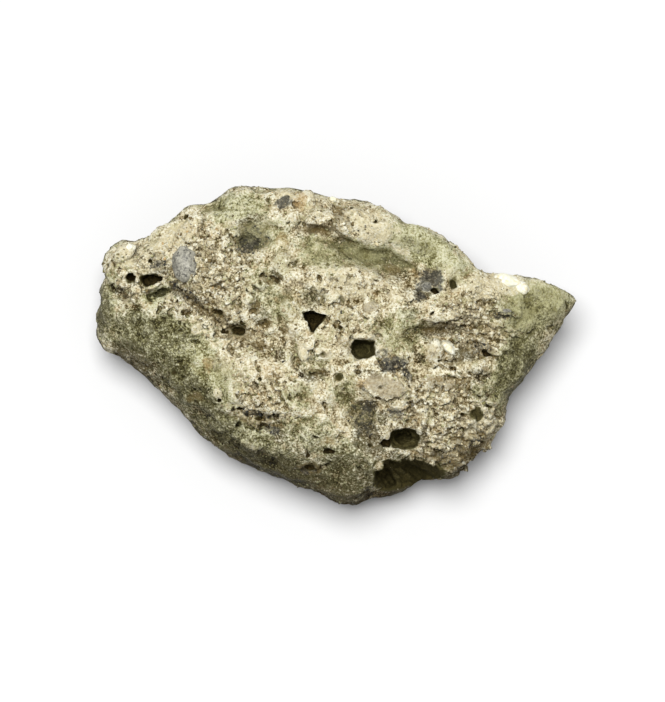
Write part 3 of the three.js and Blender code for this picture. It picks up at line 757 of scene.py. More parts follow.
def zones(places):
    """Shares of each kind of surface at places in metres."""
    mm = places / MM
    x, y, z = mm.T
    bent_x = x + 0.45 * rough_noise(mm, 1.1, 1)
    bent_y = y + 0.45 * rough_noise(mm, 1.1, 2)
    near_x = x + 0.22 * rough_noise(mm, 0.4, 8)
    near_y = y + 0.22 * rough_noise(mm, 0.4, 9)
    upper = stepped(z - rim_height(x, y), -0.8, 0.6)
    side = 1 - upper
    patchy = rough_noise(mm, 2.6, 3)
    below = 1 - stepped(z - rim_height(x, y), -2.6, -1.2)
    glass = np.maximum(spread(GLASS, bent_x, bent_y, 0.45), stepped(patchy, -0.2, 0.1) * side)
    broken = 0.5 * stepped(-patchy, 0, 0.3) * below
    rough = np.maximum(spread(ROUGH, bent_x, bent_y) * (0.4 + 0.6 * upper), broken)
    return {
        "glass": glass,
        "rough": rough * (1 - 0.8 * glass),
        "side": side,
        # deep: dark clear glass and painted shade, from the listed spots and everywhere below the rim
        "deep": np.maximum(spread(SHADE_AND_DARK_GLASS, bent_x, bent_y, 0.4), 0.9 * side),
        "streaks": spread(STREAKS, bent_x, bent_y) * upper,
        "soot": spread(SOOT, near_x, near_y) * upper,
        "rust": spread(RUST, near_x, near_y, 0.5) * upper,
        "chalk": spread(CHALK, near_x, near_y) * upper,
        "umber": spread(UMBER, near_x, near_y, 0.45) * upper,
        "buff": spread(BUFF, near_x, near_y) * upper,
        "glaze": spread(GLAZE, near_x, near_y, 0.5) * upper,
    }


def make_uneven(mesh, fine, broad, seed):
    """Moves the vertices along their normals by fine and broad noise of the heights given in millimetres."""
    places, _ = corners_of(mesh)
    mm = places / MM
    height = fine * rough_noise(mm, 0.3, seed) + broad * rough_noise(mm, 0.8, seed + 1)
    set_places(mesh, places + normals_of(mesh) * (height * MM)[:, None])


def scattered(mesh, count, weights, rng):
    """Random places on a mesh, denser where the weights of its vertices are higher. Gives the places, the
    normals there, and a function that reads any values of the vertices at them."""
    places, triangles = corners_of(mesh)
    corners = places[triangles]
    normal = np.cross(corners[:, 1] - corners[:, 0], corners[:, 2] - corners[:, 0])
    area = np.linalg.norm(normal, axis=1)
    normal /= np.maximum(area, 1e-20)[:, None]
    odds = area * weights[triangles].mean(axis=1)
    chosen = rng.choice(len(area), count, p=odds / odds.sum())
    share = np.sort(rng.random((count, 2)), axis=1)
    share = np.column_stack((share[:, 0], share[:, 1] - share[:, 0], 1 - share[:, 1]))

    def take(values):
        return (share * values[triangles[chosen]]).sum(axis=1)

    return np.einsum("ij,ijk->ik", share, corners[chosen]), normal[chosen], take


def surface_tree(mesh):
    """A search tree of the mesh's triangles."""
    places, triangles = corners_of(mesh)
    return BVHTree.FromPolygons([Vector(p) for p in places], triangles.tolist())


def height_at(tree, x, y):
    """Height of the surface, in metres, at x and y in millimetres."""
    hit = tree.ray_cast(Vector((x * MM, y * MM, ABOVE)), Vector((0, 0, -1)))
    if hit[0] is None:
        raise RuntimeError(f"nothing of the stone lies under {x}, {y}")
    return hit[0].z


def hole_height(tree, hole):
    """The greatest height of the surface at a hole's middle and the ends of its mouth, in metres."""
    turn = Matrix.Rotation(math.radians(hole.turn), 2)
    ends = ((0, 0), (hole.long, 0), (-hole.long, 0), (0, hole.wide), (0, -hole.wide))
    turned = [turn @ Vector(end) for end in ends]
    return max(height_at(tree, hole.x + end.x, hole.y + end.y) for end in turned)


def mouth_height(tree, mouth):
    """The mean height of the surface at a mouth's corners, in metres, without the two lowest."""
    return np.mean(sorted(height_at(tree, *corner) for corner in mouth.corners)[2:])


# --------------------------------------------------------------------------------------------------
# The fused lump
# --------------------------------------------------------------------------------------------------

LUMP_SHAPES = 14  # how many different shapes the crust's lumps are copies of
PIT_SHAPES = 12  # and its gaps
MOUTH_RISE = 0.9 * MM  # how far a cornered cutter stands above the surface
MOUTH_FLARE = 1.25  # and its width there, as a share of the mouth's
WING_REACH = 0.42  # how much further than the frame's the wing's tip stands, in millimetres
FLANK_REACH = 0.24  # and the rim of the south-west flank
CUTTER_STEP = 0.7  # voxel size of the cutters, as a share of the finished surface's
SHALLOW_BUBBLE_SHADE = 0.6  # how much painted shade darkens the shallow bubbles and the cave, where the deep ones get 1


def crust_relief(mm, share):
    """Height of the skin's rounded cells and broad swells, in millimetres."""
    height = 0.38 * (cobbles(mm, 0.95, 3) - 0.5) * (1 - 0.3 * share["glass"]) * (1 - 0.5 * share["buff"])
    height *= (1 - 0.8 * share["side"]) * (1 - 0.7 * share["glaze"])
    height += (0.16 * rough_noise(mm, 0.8, 7) + 0.2 * rough_noise(mm, 1.8, 4)) * (1 - 0.5 * share["side"])
    return height


def rim_reach(normals, x, y):
    """How much further than the frame's the rim stands, in millimetres."""
    across, along, up = normals.T
    out = FLANK_REACH * stepped(-np.abs(up), -0.9, -0.5) * stepped(-0.6 * across - 0.8 * along, -1.0, -0.4)
    out *= stepped(-np.abs(x + 0.2), -15.4, -13.8)
    out += spread(CORNERS, x, y, 0.6) * stepped(-np.abs(up), -0.95, -0.6)
    return out


def skin(settings):
    """The frame's stone with its facets rounded off, made uneven, with the soft hollows pressed in and the
    corners of its rim drawn out."""
    bm = bmesh.new()
    bm.from_mesh(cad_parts[STONE_NODE].data)
    bmesh.ops.remove_doubles(bm, verts=bm.verts, dist=0.001 * MM)
    mesh = shaped(
        mesh_of(bm, "skin"),
        ("REMESH", {"mode": "VOXEL", "voxel_size": settings.skin_step}),
        ("SMOOTH", {"factor": 0.5, "iterations": 9}),
        ("DISPLACE", {"strength": -settings.inset, "mid_level": 0.0}),
    )
    places, _ = corners_of(mesh)
    normals = normals_of(mesh)
    mm = places / MM
    x, y, z = mm.T
    bent_x = x + 0.35 * rough_noise(mm, 0.6, 15)
    bent_y = y + 0.35 * rough_noise(mm, 0.6, 16)
    places += normals * (crust_relief(mm, zones(places)) * MM)[:, None]
    places[:, 2] -= spread(DENTS, bent_x, bent_y, 0.6) * stepped(z - rim_height(x, y), 0, 2) * MM
    places[:, 0] += WING_REACH * stepped(x, 12.5, 15.8) * MM
    places[:, :2] += normals[:, :2] * (rim_reach(normals, x, y) * MM)[:, None]
    set_places(mesh, places)
    return mesh


def lying(normal, streaky, rng):
    """A turn that lays a lump's Z along the normal, and its X along the streaks where there are any."""
    turn = Vector(normal).to_track_quat("Z", "Y").to_matrix()
    if rng.random() > streaky:
        return turn @ Matrix.Rotation(rng.uniform(0, 2 * math.pi), 3, "Z")
    angle = STREAK_TURN + rng.normal(0, 0.15)
    along = Vector((math.cos(angle), math.sin(angle), 0))
    up = Vector(normal)
    side = up.cross(along).normalized()
    return Matrix((side.cross(up), side, up)).transposed()


def lumps(base, settings, rng):
    """Knobs of crust on the skin, most on its rough zones."""
    shapes = [blob(rng, 2, 0.5) for _ in range(LUMP_SHAPES)]
    share = zones(corners_of(base)[0])
    places, normals, take = scattered(base, settings.lumps, 0.06 + share["rough"], rng)
    copies = []
    for place, normal, streaky, side in zip(places, normals, take(share["streaks"]), take(share["side"])):
        size = settings.smallest_lump + (settings.largest_lump - settings.smallest_lump) * rng.random() ** 2.2
        size *= (1 - 0.4 * side) * (0.5 + 0.5 * abs(normal[2]))
        turn = lying(normal, streaky, rng) @ Euler(rng.uniform(-0.4, 0.4, 3)).to_matrix()
        stretch = Matrix.Diagonal((
            size * rng.uniform(0.8, 1.3) * (1 + streaky),
            size * rng.uniform(0.7, 1.0) * (1 - 0.4 * streaky),
            size * 0.75,
        ))
        matrix = (turn @ stretch).to_4x4()
        matrix.translation = Vector(place) - Vector(normal) * size * rng.uniform(0.35, 0.7)
        copies.append(placed(shapes[rng.integers(len(shapes))], matrix))
    return copies


def named_knobs(tree, rng):
    """The lumps of crust that have a place of their own."""
    copies = []
    for knob in KNOBS:
        middle = Vector((knob.x * MM, knob.y * MM, height_at(tree, knob.x, knob.y)))
        halves = (knob.long * MM, knob.wide * MM, knob.high * MM)
        copies.append(placed(blob(rng, 3, 0.35), upright(middle, halves, knob.turn)))
    return copies


def crack_cutters(tree, rng):
    """Closed cutters of the ragged rows of gaps, small and overlapping along their lines."""
    copies = []
    for crack in CRACKS:
        points = np.array(crack.points)
        along = np.concatenate(([0], np.cumsum(np.hypot(*np.diff(points, axis=0).T))))
        for step in np.arange(0, along[-1], 1.2 * crack.wide):
            x, y = (np.interp(step, along, axis) + rng.normal(0, 0.5 * crack.wide) for axis in points.T)
            middle = Vector((x * MM, y * MM, height_at(tree, x, y)))
            halves = Vector(crack.wide * rng.uniform(0.4, 1.3, 3) * MM)
            halves.z = crack.deep * rng.uniform(0.5, 1.1) * MM
            gap = opened(blob(rng, 2, 0.6), halves)
            copies.append(placed(gap, upright(middle, halves, rng.uniform(0, 180))))
    return copies


def bubble_cutters(tree, rng):
    """Closed cutters of the round bubbles, the shallow ones and the cave."""
    copies = []
    for hole in HOLES + RINGS:
        middle = Vector((hole.x * MM, hole.y * MM, hole_height(tree, hole) + 0.1 * MM))
        halves = Vector((hole.long, hole.wide, hole.deep)) * MM
        bubble = opened(blob(rng, 3, 0.3), halves)
        copies.append(placed(bubble, upright(middle, halves, hole.turn)))
    for hole in CAVE:
        middle = Vector((hole.x, hole.y, CAVE_MIDDLE)) * MM
        halves = (hole.long * MM, hole.wide * MM, hole.deep * MM)
        copies.append(placed(blob(rng, 5, 0.3), upright(middle, halves, hole.turn)))
    return copies


def mouth_cutter(tree, mouth):
    """The closed cutter of a cornered bubble, flared above the surface and narrower at its floor."""
    middle = np.mean(mouth.corners, axis=0)
    top = mouth_height(tree, mouth)
    rings = ((top + MOUTH_RISE, MOUTH_FLARE), (top, 1.0), (top - mouth.deep * MM, mouth.floor))
    points = []
    for height, share in rings:
        for corner in mouth.corners:
            x, y = middle + (np.array(corner) - middle) * share
            points.append((x * MM, y * MM, height))
    return hull(points)


def pits(base, settings, rng):
    """Small gaps between the lumps, and small burst bubbles, most on the rough zones."""
    shapes = [blob(rng, 2, 0.8) for _ in range(PIT_SHAPES)]
    share = zones(corners_of(base)[0])
    weights = (0.06 + share["rough"] ** 1.5) * (1 - 0.9 * share["buff"]) * (1 - 0.8 * share["glass"])
    places, normals, take = scattered(base, settings.pits, weights, rng)
    copies = []
    for place, normal, streaky in zip(places, normals, take(share["streaks"])):
        size = settings.smallest_pit + (settings.largest_pit - settings.smallest_pit) * rng.random() ** 3
        stretch = Matrix.Diagonal((
            size * rng.uniform(0.8, 1.8) * (1 + 0.7 * streaky),
            size * rng.uniform(0.5, 0.9) * (1 - 0.3 * streaky),
            size * 1.3,
        ))
        matrix = (lying(normal, streaky, rng) @ stretch).to_4x4()
        matrix.translation = Vector(place) + Vector(normal) * MM * rng.uniform(0.0, 0.15)
        copies.append(placed(shapes[rng.integers(len(shapes))], matrix))
    return copies


def fused(settings):
    """The whole lump, skin and lumps grown together less the bubbles and gaps, and the skin's search tree."""
    rng = np.random.default_rng(settings.seed)
    base = skin(settings)
    tree = surface_tree(base)
    grown = joined("grown", [corners_of(base)] + lumps(base, settings, rng) + named_knobs(tree, rng))
    grown = shaped(
        grown,
        ("REMESH", {"mode": "VOXEL", "voxel_size": settings.fine_step}),
        ("SMOOTH", {"factor": 0.5, "iterations": 2}),
    )
    cutters = [mouth_cutter(tree, mouth) for mouth in MOUTHS] + crack_cutters(tree, rng)
    cutters += bubble_cutters(tree, rng) + pits(base, settings, rng)
    cutter = joined("cutter", cutters)
    cutter = shaped(cutter, ("REMESH", {"mode": "VOXEL", "voxel_size": settings.fine_step * CUTTER_STEP}))
    make_uneven(cutter, 0.07, 0.12, 18)
    return difference(grown, cutter), tree


def make_granular(mesh, tree):
    """Moves the vertices along their normals to make the crust granular, and less so in the bubbles."""
    places, _ = corners_of(mesh)
    share = zones(places) | bubble_shares(mesh, tree)
    mm = places / MM
    sandy = 0.6 + 0.4 * share["rough"] + 0.2 * (1 - share["glass"]) + 0.4 * share["side"]
    sandy *= 1 - 0.4 * share["buff"]
    height = (0.1 * (cobbles(mm, 0.34, 1) - 0.5) + 0.08 * rough_noise(mm, 0.2, 5)) * sandy
    height *= 1 - 0.6 * np.maximum(share["mouth"], share["lining"])
    places += normals_of(mesh) * (height * MM)[:, None]
    set_places(mesh, kept_low(places))


def smoothed(mesh, rounds):
    """Vertex places after rounds of averaging over neighbours."""
    places, _ = corners_of(mesh)
    edges = np.empty(len(mesh.edges) * 2, np.int32)
    mesh.edges.foreach_get("vertices", edges)
    first, second = edges.reshape(-1, 2).T
    ends = np.concatenate((first, second))
    others = np.concatenate((second, first))
    count = np.bincount(ends, minlength=len(places))[:, None]
    for _ in range(rounds):
        sums = [np.bincount(ends, places[others, axis], minlength=len(places)) for axis in range(3)]
        places = np.column_stack(sums) / count
    return places


def hollowness(mesh, rounds):
    """How far each vertex lies below its smoothed surroundings, in millimetres: negative on a bump."""
    places, _ = corners_of(mesh)
    return ((smoothed(mesh, rounds) - places) * normals_of(mesh)).sum(axis=1) / MM


def inward(corners, x, y):
    """Distance of each x, y inside a ring of corners given clockwise: negative outside."""
    least = np.full(len(x), np.inf)
    for (start_x, start_y), (end_x, end_y) in zip(corners, corners[1:] + corners[:1]):
        dx, dy = end_x - start_x, end_y - start_y
        least = np.minimum(least, ((x - start_x) * dy - (y - start_y) * dx) / math.hypot(dx, dy))
    return least


def bubble_shares(mesh, tree):
    """Painted shade by how far each vertex is down in a named bubble, gap or the cave, and how near to a
    mouth.
    """
    places, _ = corners_of(mesh)
    x, y, z = (places / MM).T
    lining, near = np.zeros(len(x)), np.zeros(len(x))
    for hole in HOLES + RINGS:
        depth = hole_height(tree, hole) / MM - z
        above = (depth < 2 * hole.deep) * (depth > -1)
        inside = stepped(-reach(hole, x, y), -1.2, -1.0) * above * (SHALLOW_BUBBLE_SHADE if hole in RINGS else 1)
        lining = np.maximum(lining, inside * stepped(depth, 0.1, 0.1 + 0.5 * hole.deep))
        near = np.maximum(near, stepped(-reach(hole, x, y), -1.5, -1.2) * above)
    for mouth in MOUTHS:
        depth = mouth_height(tree, mouth) / MM - z
        inside = stepped(inward(mouth.corners, x, y), -0.15, 0.0) * (depth > -0.8) * (z > 1)
        lining = np.maximum(lining, mouth.dark * inside * stepped(depth, 0.15, 0.6))
        near = np.maximum(near, inside)
    # The cave's walls that face its middle get painted shade.
    for hole in CAVE:
        distance = np.hypot(reach(hole, x, y), (z - CAVE_MIDDLE) / hole.deep)
        towards = np.array((hole.x, hole.y, CAVE_MIDDLE)) - places / MM
        facing = (towards * normals_of(mesh)).sum(axis=1) / np.linalg.norm(towards, axis=1)
        lining = np.maximum(lining, SHALLOW_BUBBLE_SHADE * stepped(-distance, -1.6, -1.3) * stepped(facing, -0.1, 0.4))
    return {"lining": lining, "mouth": near}


def largest_part(mesh):
    """The mesh without the loose crumbs that the gaps cut off."""
    bm = bmesh.new()
    bm.from_mesh(mesh)
    parts, left = [], set(bm.verts)
    while left:
        start = left.pop()
        part, newest = {start}, [start]
        while newest:
            found = {edge.other_vert(vertex) for vertex in newest for edge in vertex.link_edges} & left
            left -= found
            part |= found
            newest = list(found)
        parts.append(part)
    largest = max(parts, key=len)
    crumbs = [vertex for part in parts if part is not largest for vertex in part]
    bmesh.ops.delete(bm, geom=crumbs, context="VERTS")
    return mesh_of(bm, "lump")


def turned_away(mesh, rounds):
    """How far each vertex of the broad shape is turned from the sky towards -Y, from 0 to 1, and less so at
    the stone's two ends and above its rim."""
    broad = mesh.copy()
    set_places(broad, smoothed(mesh, rounds))
    _, along, up = normals_of(broad).T
    bpy.data.meshes.remove(broad)
    x, y, z = (corners_of(mesh)[0] / MM).T
    less = (1 - 0.6 * stepped(-x, 4.5, 9)) * (1 - 0.5 * stepped(x, 8, 11))
    less *= 1 - 0.4 * stepped(z - rim_height(x, y), 0, 2)
    return stepped(-up, -0.94, -0.45) * stepped(-along, -0.4, 0.15) * less


def set_shares(mesh, shares):
    """Keeps shares of each kind of surface as attributes of the mesh's vertices."""
    for name, values in shares.items():
        layer = mesh.attributes.new(name, "FLOAT", "POINT")
        layer.data.foreach_set("value", values.astype(np.float32))


class StoneSettings(bpy.types.PropertyGroup):
    """Sizes of the fused lump."""

    seed: IntProperty(name="Seed", description="Start of the lump's random draws", default=4)
    skin_step: FloatProperty(
        name="Skin step", description="Voxel size of the plain skin", default=0.2 * MM, unit="LENGTH"
    )
    fine_step: FloatProperty(
        name="Fine step", description="Voxel size of the finished surface", default=0.1 * MM, unit="LENGTH"
    )
    inset: FloatProperty(
        name="Inset", description="How far the skin lies inside the frame", default=0.02 * MM, unit="LENGTH"
    )
    lumps: IntProperty(name="Lumps", description="Number of knobs of crust", default=3600, min=0)
    smallest_lump: FloatProperty(
        name="Smallest lump", description="Radius of the smallest knob", default=0.14 * MM, unit="LENGTH"
    )
    largest_lump: FloatProperty(
        name="Largest lump", description="Radius of the largest knob", default=0.6 * MM, unit="LENGTH"
    )
    pits: IntProperty(name="Pits", description="Number of small gaps and bubbles", default=3800, min=0)
    smallest_pit: FloatProperty(
        name="Smallest pit", description="Radius of the smallest gap", default=0.06 * MM, unit="LENGTH"
    )
    largest_pit: FloatProperty(
        name="Largest pit", description="Radius of the largest gap", default=0.3 * MM, unit="LENGTH"
    )
    triangles: IntProperty(
        name="Triangles", description="Most triangles of the lump", default=196000, min=1000
    )


# Rounds of averaging that leave the crust's grain, its broad hollows and the whole stone's shape
GRAIN_ROUNDS, BASIN_ROUNDS, STONE_ROUNDS = 6, 40, 120


class TRINITITE_OT_stone(bpy.types.Operator):
    """Make the fused lump round the frame's stone"""

    bl_idname = "trinitite.stone"
    bl_label = "Fused Lump"

    def execute(self, context):
        settings = context.scene.trinitite_stone
        mesh, tree = fused(settings)
        mesh = in_triangles(mesh)
        mesh = shaped(mesh, ("DECIMATE", {"ratio": min(1, settings.triangles / len(mesh.polygons))}))
        mesh = largest_part(mesh)
        make_granular(mesh, tree)
        places, _ = corners_of(mesh)
        shares = zones(places) | bubble_shares(mesh, tree)
        # The creases and broad hollows found here darken the crust's colour: painted shade.
        shares["hollow"] = hollowness(mesh, GRAIN_ROUNDS).clip(-0.06, 0.15)
        shares["basin"] = hollowness(mesh, BASIN_ROUNDS).clip(-0.15, 0.2)
        # Painted shade on the flanks turned away from the key light, also carried into the deep share
        shares["turned"] = turned_away(mesh, STONE_ROUNDS)
        shares["deep"] = np.maximum(shares["deep"], 0.6 * shares["turned"]).clip(0, 0.9)
        set_shares(mesh, shares)
        mesh.shade_smooth()
        piece = new_piece(LUMP_NAME, mesh, crust_material(context.scene.trinitite_colours))
        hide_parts(STONE_NODE)
        return {"FINISHED"}


# --------------------------------------------------------------------------------------------------
# Materials
# --------------------------------------------------------------------------------------------------

DEEP_GLASS_AND_SHADE_TINT = (0.1, 0.084, 0.034)  # what clear deep glass leaves of the light, also the painted shade on flanks, edges and under bulges
WALL_FILM_AND_SHADE_TINT = (0.22, 0.205, 0.135)  # the brown film on the bubbles' walls, which also begins their painted shade
FLANK_SHADE_TINT = (0.4, 0.35, 0.28)  # painted shade on the flanks turned away from the light


class Paint:
    """A material's node tree, built one node at a time. Pattern sizes are in millimetres."""

    def __init__(self, name):
        self.material = bpy.data.materials.new(name)
        self.material.use_nodes = True
        self.nodes = self.material.node_tree.nodes
        self.links = self.material.node_tree.links
        self.shader = self.nodes["Principled BSDF"]
        self.where = self.nodes.new("ShaderNodeTexCoord").outputs["Object"]

    def put(self, socket, value):
        """Gives a socket another node's output, a number or a colour."""
        if isinstance(value, bpy.types.NodeSocket):
            self.links.new(value, socket)
        elif isinstance(value, (int, float)):
            socket.default_value = value
        else:
            socket.default_value = (*value, 1.0)

    def attribute(self, name, output="Fac"):
        """What the mesh keeps under a name."""
        node = self.nodes.new("ShaderNodeAttribute")
        node.attribute_name = name
        return node.outputs[output]

    def noise(self, size, detail=2.0, rough=0.6):
        """Cloudy noise from about 0 to 1."""
        node = self.nodes.new("ShaderNodeTexNoise")
        node.inputs["Scale"].default_value = 1 / (size * MM)
        node.inputs["Detail"].default_value = detail
        node.inputs["Roughness"].default_value = rough
        self.links.new(self.where, node.inputs["Vector"])
        return node.outputs["Fac"]

    def cells(self, size):
        """A node of packed cells, each with a colour of its own and the distance from its middle."""
        node = self.nodes.new("ShaderNodeTexVoronoi")
        node.inputs["Scale"].default_value = 1 / (size * MM)
        self.links.new(self.where, node.inputs["Vector"])
        return node

    def math(self, operation, first, second):
        """One step of arithmetic on two values."""
        node = self.nodes.new("ShaderNodeMath")
        node.operation = operation
        self.put(node.inputs[0], first)
        self.put(node.inputs[1], second)
        return node.outputs["Value"]

    def total(self, *parts):
        """The sum of values, each times its weight."""
        result = self.math("MULTIPLY", *parts[0])
        for part in parts[1:]:
            result = self.math("ADD", result, self.math("MULTIPLY", *part))
        return result

    def edge(self, value, low, high):
        """0 below low, 1 above high and a soft step between."""
        node = self.nodes.new("ShaderNodeMapRange")
        node.interpolation_type = "SMOOTHSTEP"
        self.put(node.inputs["Value"], value)
        node.inputs["From Min"].default_value = low
        node.inputs["From Max"].default_value = high
        return node.outputs["Result"]

    def ramp(self, value, *stops):
        """A colour for each value, from stops of a value and its colour."""
        node = self.nodes.new("ShaderNodeValToRGB")
        elements = node.color_ramp.elements
        while len(elements) < len(stops):
            elements.new(1.0)
        for element, (position, colour) in zip(elements, stops):
            element.position = position
            element.color = (*colour, 1.0)
        self.put(node.inputs["Fac"], value)
        return node.outputs["Color"]

    def mix(self, share, first, second, blend="MIX"):
        """The first colour, and more of the second as the share rises."""
        node = self.nodes.new("ShaderNodeMix")
        node.data_type = "RGBA"
        node.blend_type = blend
        self.put(node.inputs["Factor"], share)
        self.put(node.inputs["A"], first)
        self.put(node.inputs["B"], second)
        return node.outputs["Result"]

    def bump(self, height, depth):
        """Raises the surface by the height times the depth in millimetres."""
        node = self.nodes.new("ShaderNodeBump")
        node.inputs["Distance"].default_value = depth * MM
        self.put(node.inputs["Height"], height)
        self.links.new(node.outputs["Normal"], self.shader.inputs["Normal"])


class StoneColours(bpy.types.PropertyGroup):
    """Colours of the sand and the glass, as linear albedo."""

    white: FloatVectorProperty(
        name="White", description="Brightest quartz grains", default=(0.62, 0.6, 0.48), subtype="COLOR"
    )
    cream: FloatVectorProperty(
        name="Cream", description="Pale sand grains", default=(0.485, 0.43, 0.275), subtype="COLOR"
    )
    tan: FloatVectorProperty(
        name="Tan", description="Middle sand grains", default=(0.288, 0.24, 0.144), subtype="COLOR"
    )
    brown: FloatVectorProperty(
        name="Brown", description="Dark sand grains", default=(0.128, 0.094, 0.037), subtype="COLOR"
    )
    # gap: dirt between the grains, and also the painted shade deep in the bubbles and the cave
    gap: FloatVectorProperty(
        name="Gap", description="Dirt between the grains", default=(0.04, 0.028, 0.009), subtype="COLOR"
    )
    rust: FloatVectorProperty(
        name="Rust", description="Iron stains", default=(0.37, 0.26, 0.12), subtype="COLOR"
    )
    soot: FloatVectorProperty(
        name="Soot", description="Blue-black iron-rich specks", default=(0.03, 0.029, 0.024), subtype="COLOR"
    )
    grey: FloatVectorProperty(
        name="Grey", description="Grey grains", default=(0.152, 0.146, 0.118), subtype="COLOR"
    )
    ash: FloatVectorProperty(
        name="Ash", description="Grey dust among the sand", default=(0.168, 0.152, 0.11), subtype="COLOR"
    )
    buff: FloatVectorProperty(
        name="Buff", description="Smooth buff clast", default=(0.215, 0.178, 0.115), subtype="COLOR"
    )
    pale_glass: FloatVectorProperty(
        name="Pale glass", description="Frothy glass", default=(0.33, 0.318, 0.17), subtype="COLOR"
    )
    frost: FloatVectorProperty(
        name="Frost", description="White froth on the glass", default=(0.49, 0.48, 0.33), subtype="COLOR"
    )
    quartz: FloatVectorProperty(
        name="Quartz", description="White mineral grains", default=(0.6, 0.59, 0.53), subtype="COLOR"
    )
    glass: FloatVectorProperty(
        name="Glass", description="Green glass", default=(0.152, 0.14, 0.056), subtype="COLOR"
    )
    dark_glass: FloatVectorProperty(
        name="Dark glass", description="Clear deep glass", default=(0.04, 0.035, 0.011), subtype="COLOR"
    )


def sand_colour(paint, colours):
    """Cream, tan and brown grains with dirt in the gaps between them, darker in creases and hollows as
    painted shade, in drifts of rust and of pale froth.
    """
    tone = paint.total(
        (paint.cells(0.13).outputs["Color"], 0.2),
        (paint.noise(0.14, 2, 0.7), 1.25),
        (paint.noise(0.5, 3, 0.65), 0.35),
        (paint.noise(1.6), 0.3),
        # painted shade: darker in the creases and broad hollows
        (paint.attribute("hollow"), -1.3),
        (paint.attribute("basin"), -0.8),
        (1.0, -0.52),
    )
    colour = paint.ramp(
        tone,
        (0.2, colours.gap),
        (0.34, colours.brown),
        (0.47, colours.tan),
        (0.62, colours.cream),
        (0.8, colours.white),
    )
    rusty = paint.math("MULTIPLY", paint.edge(paint.noise(0.65, 3, 0.65), 0.54, 0.7), 0.4)
    frothy = paint.math("MULTIPLY", paint.edge(paint.noise(0.85, 3, 0.65), 0.52, 0.7), 0.5)
    ashy = paint.math("MULTIPLY", paint.edge(paint.noise(1.1, 3, 0.65), 0.54, 0.68), 0.4)
    colour = paint.mix(ashy, colour, [1.7 * part for part in colours.ash])
    return paint.mix(frothy, paint.mix(rusty, colour, colours.rust), colours.pale_glass)


def glass_colour(paint, colours):
    """Olive glass, mottled with pale froth and darker clear patches, darker in creases and hollows as painted
    shade, and flecked with white froth.
    """
    tone = paint.total(
        (paint.cells(0.13).outputs["Color"], 0.3),
        (paint.noise(2.4, 2, 0.6), 0.35),
        (paint.noise(0.3, 2, 0.6), 0.2),
        (paint.noise(0.13, 2, 0.7), 1.2),
        # painted shade: darker in the creases and broad hollows
        (paint.attribute("hollow"), -1.2),
        (paint.attribute("basin"), -0.8),
        (1.0, -0.54),
    )
    colour = paint.ramp(
        tone,
        (0.25, colours.dark_glass),
        (0.43, colours.glass),
        (0.6, colours.pale_glass),
        (0.78, colours.frost),
    )
    return paint.mix(paint.edge(paint.noise(0.17, 2, 0.7), 0.62, 0.72), colour, colours.frost)


def patch(paint, name, breakup, low=0.3, high=0.7, ragged=1.2):
    """The share of a zone, its edges made ragged by noise about 0."""
    return paint.edge(paint.total((paint.attribute(name), 1.0), (breakup, ragged)), low, high)


def melt_colour(paint, colours, glassy, breakup):
    """Sand and glass by zone, under clear glaze, with deep clear glass and painted shade, painted shade on
    the flanks turned away from the light, and dark pores.
    """
    colour = paint.mix(glassy, sand_colour(paint, colours), glass_colour(paint, colours))
    clear = paint.mix(paint.edge(paint.noise(0.9, 2), 0.35, 0.65), colours.glass, colours.pale_glass)
    colour = paint.mix(paint.math("MULTIPLY", paint.attribute("glaze"), 0.7), colour, clear)
    speckle = paint.math("SUBTRACT", paint.noise(0.14, 2, 0.7), 0.5)
    # deep darkens the colour as clear deep glass and as painted shade
    deep = paint.total((paint.attribute("deep"), 1.0), (breakup, 1.3), (speckle, -2.0))
    deep = paint.math("MULTIPLY", paint.edge(deep, 0.1, 0.9), 0.85)
    colour = paint.mix(deep, colour, DEEP_GLASS_AND_SHADE_TINT, "MULTIPLY")
    # painted shade on the flanks turned away from the key light
    colour = paint.mix(paint.attribute("turned"), colour, FLANK_SHADE_TINT, "MULTIPLY")
    pores = paint.total(
        (paint.noise(0.24, 3, 0.7), 1.0), (paint.attribute("glass"), -0.07), (paint.attribute("buff"), -0.1)
    )
    return paint.mix(paint.math("MULTIPLY", paint.edge(pores, 0.62, 0.7), 0.7), colour, colours.gap)


def stained(paint, colours, colour, breakup):
    """A colour under dirt, rust, white froth, the buff clast and soot."""
    pale = paint.mix(paint.edge(paint.noise(0.2, 2), 0.45, 0.7), colours.cream, colours.white)
    buff = paint.mix(paint.edge(paint.noise(0.15, 3, 0.7), 0.35, 0.65), colours.tan, colours.buff)
    dark = paint.mix(paint.edge(paint.noise(0.16, 3, 0.7), 0.48, 0.7), colours.soot, colours.ash)
    for zone, strength, stain in (
        (patch(paint, "umber", breakup), 0.6, colours.brown),
        (patch(paint, "rust", breakup), 0.55, colours.rust),
        (patch(paint, "chalk", breakup), 0.75, pale),
        (patch(paint, "buff", breakup, 0.3, 0.6), 0.7, buff),
        (patch(paint, "soot", breakup, 0.1, 1.0, 2.6), 0.9, dark),
    ):
        colour = paint.mix(paint.math("MULTIPLY", zone, strength), colour, stain)
    return colour


def lined(paint, colours, colour):
    """A colour that gives way to pale glass, then a brown film that begins the painted shade, then near-black
    painted shade, further down in the bubbles and the cave.
    """
    lining = paint.attribute("lining")
    colour = paint.mix(paint.math("MULTIPLY", paint.edge(lining, 0.0, 0.4), 0.5), colour, colours.pale_glass)
    colour = paint.mix(paint.edge(lining, 0.0, 0.4), colour, WALL_FILM_AND_SHADE_TINT, "MULTIPLY")
    dark = [0.25 * part for part in colours.gap]
    dark = paint.mix(paint.edge(paint.noise(0.14, 3, 0.7), 0.35, 0.65), dark, colours.gap)
    return paint.mix(paint.edge(lining, 0.3, 1.0), colour, dark)


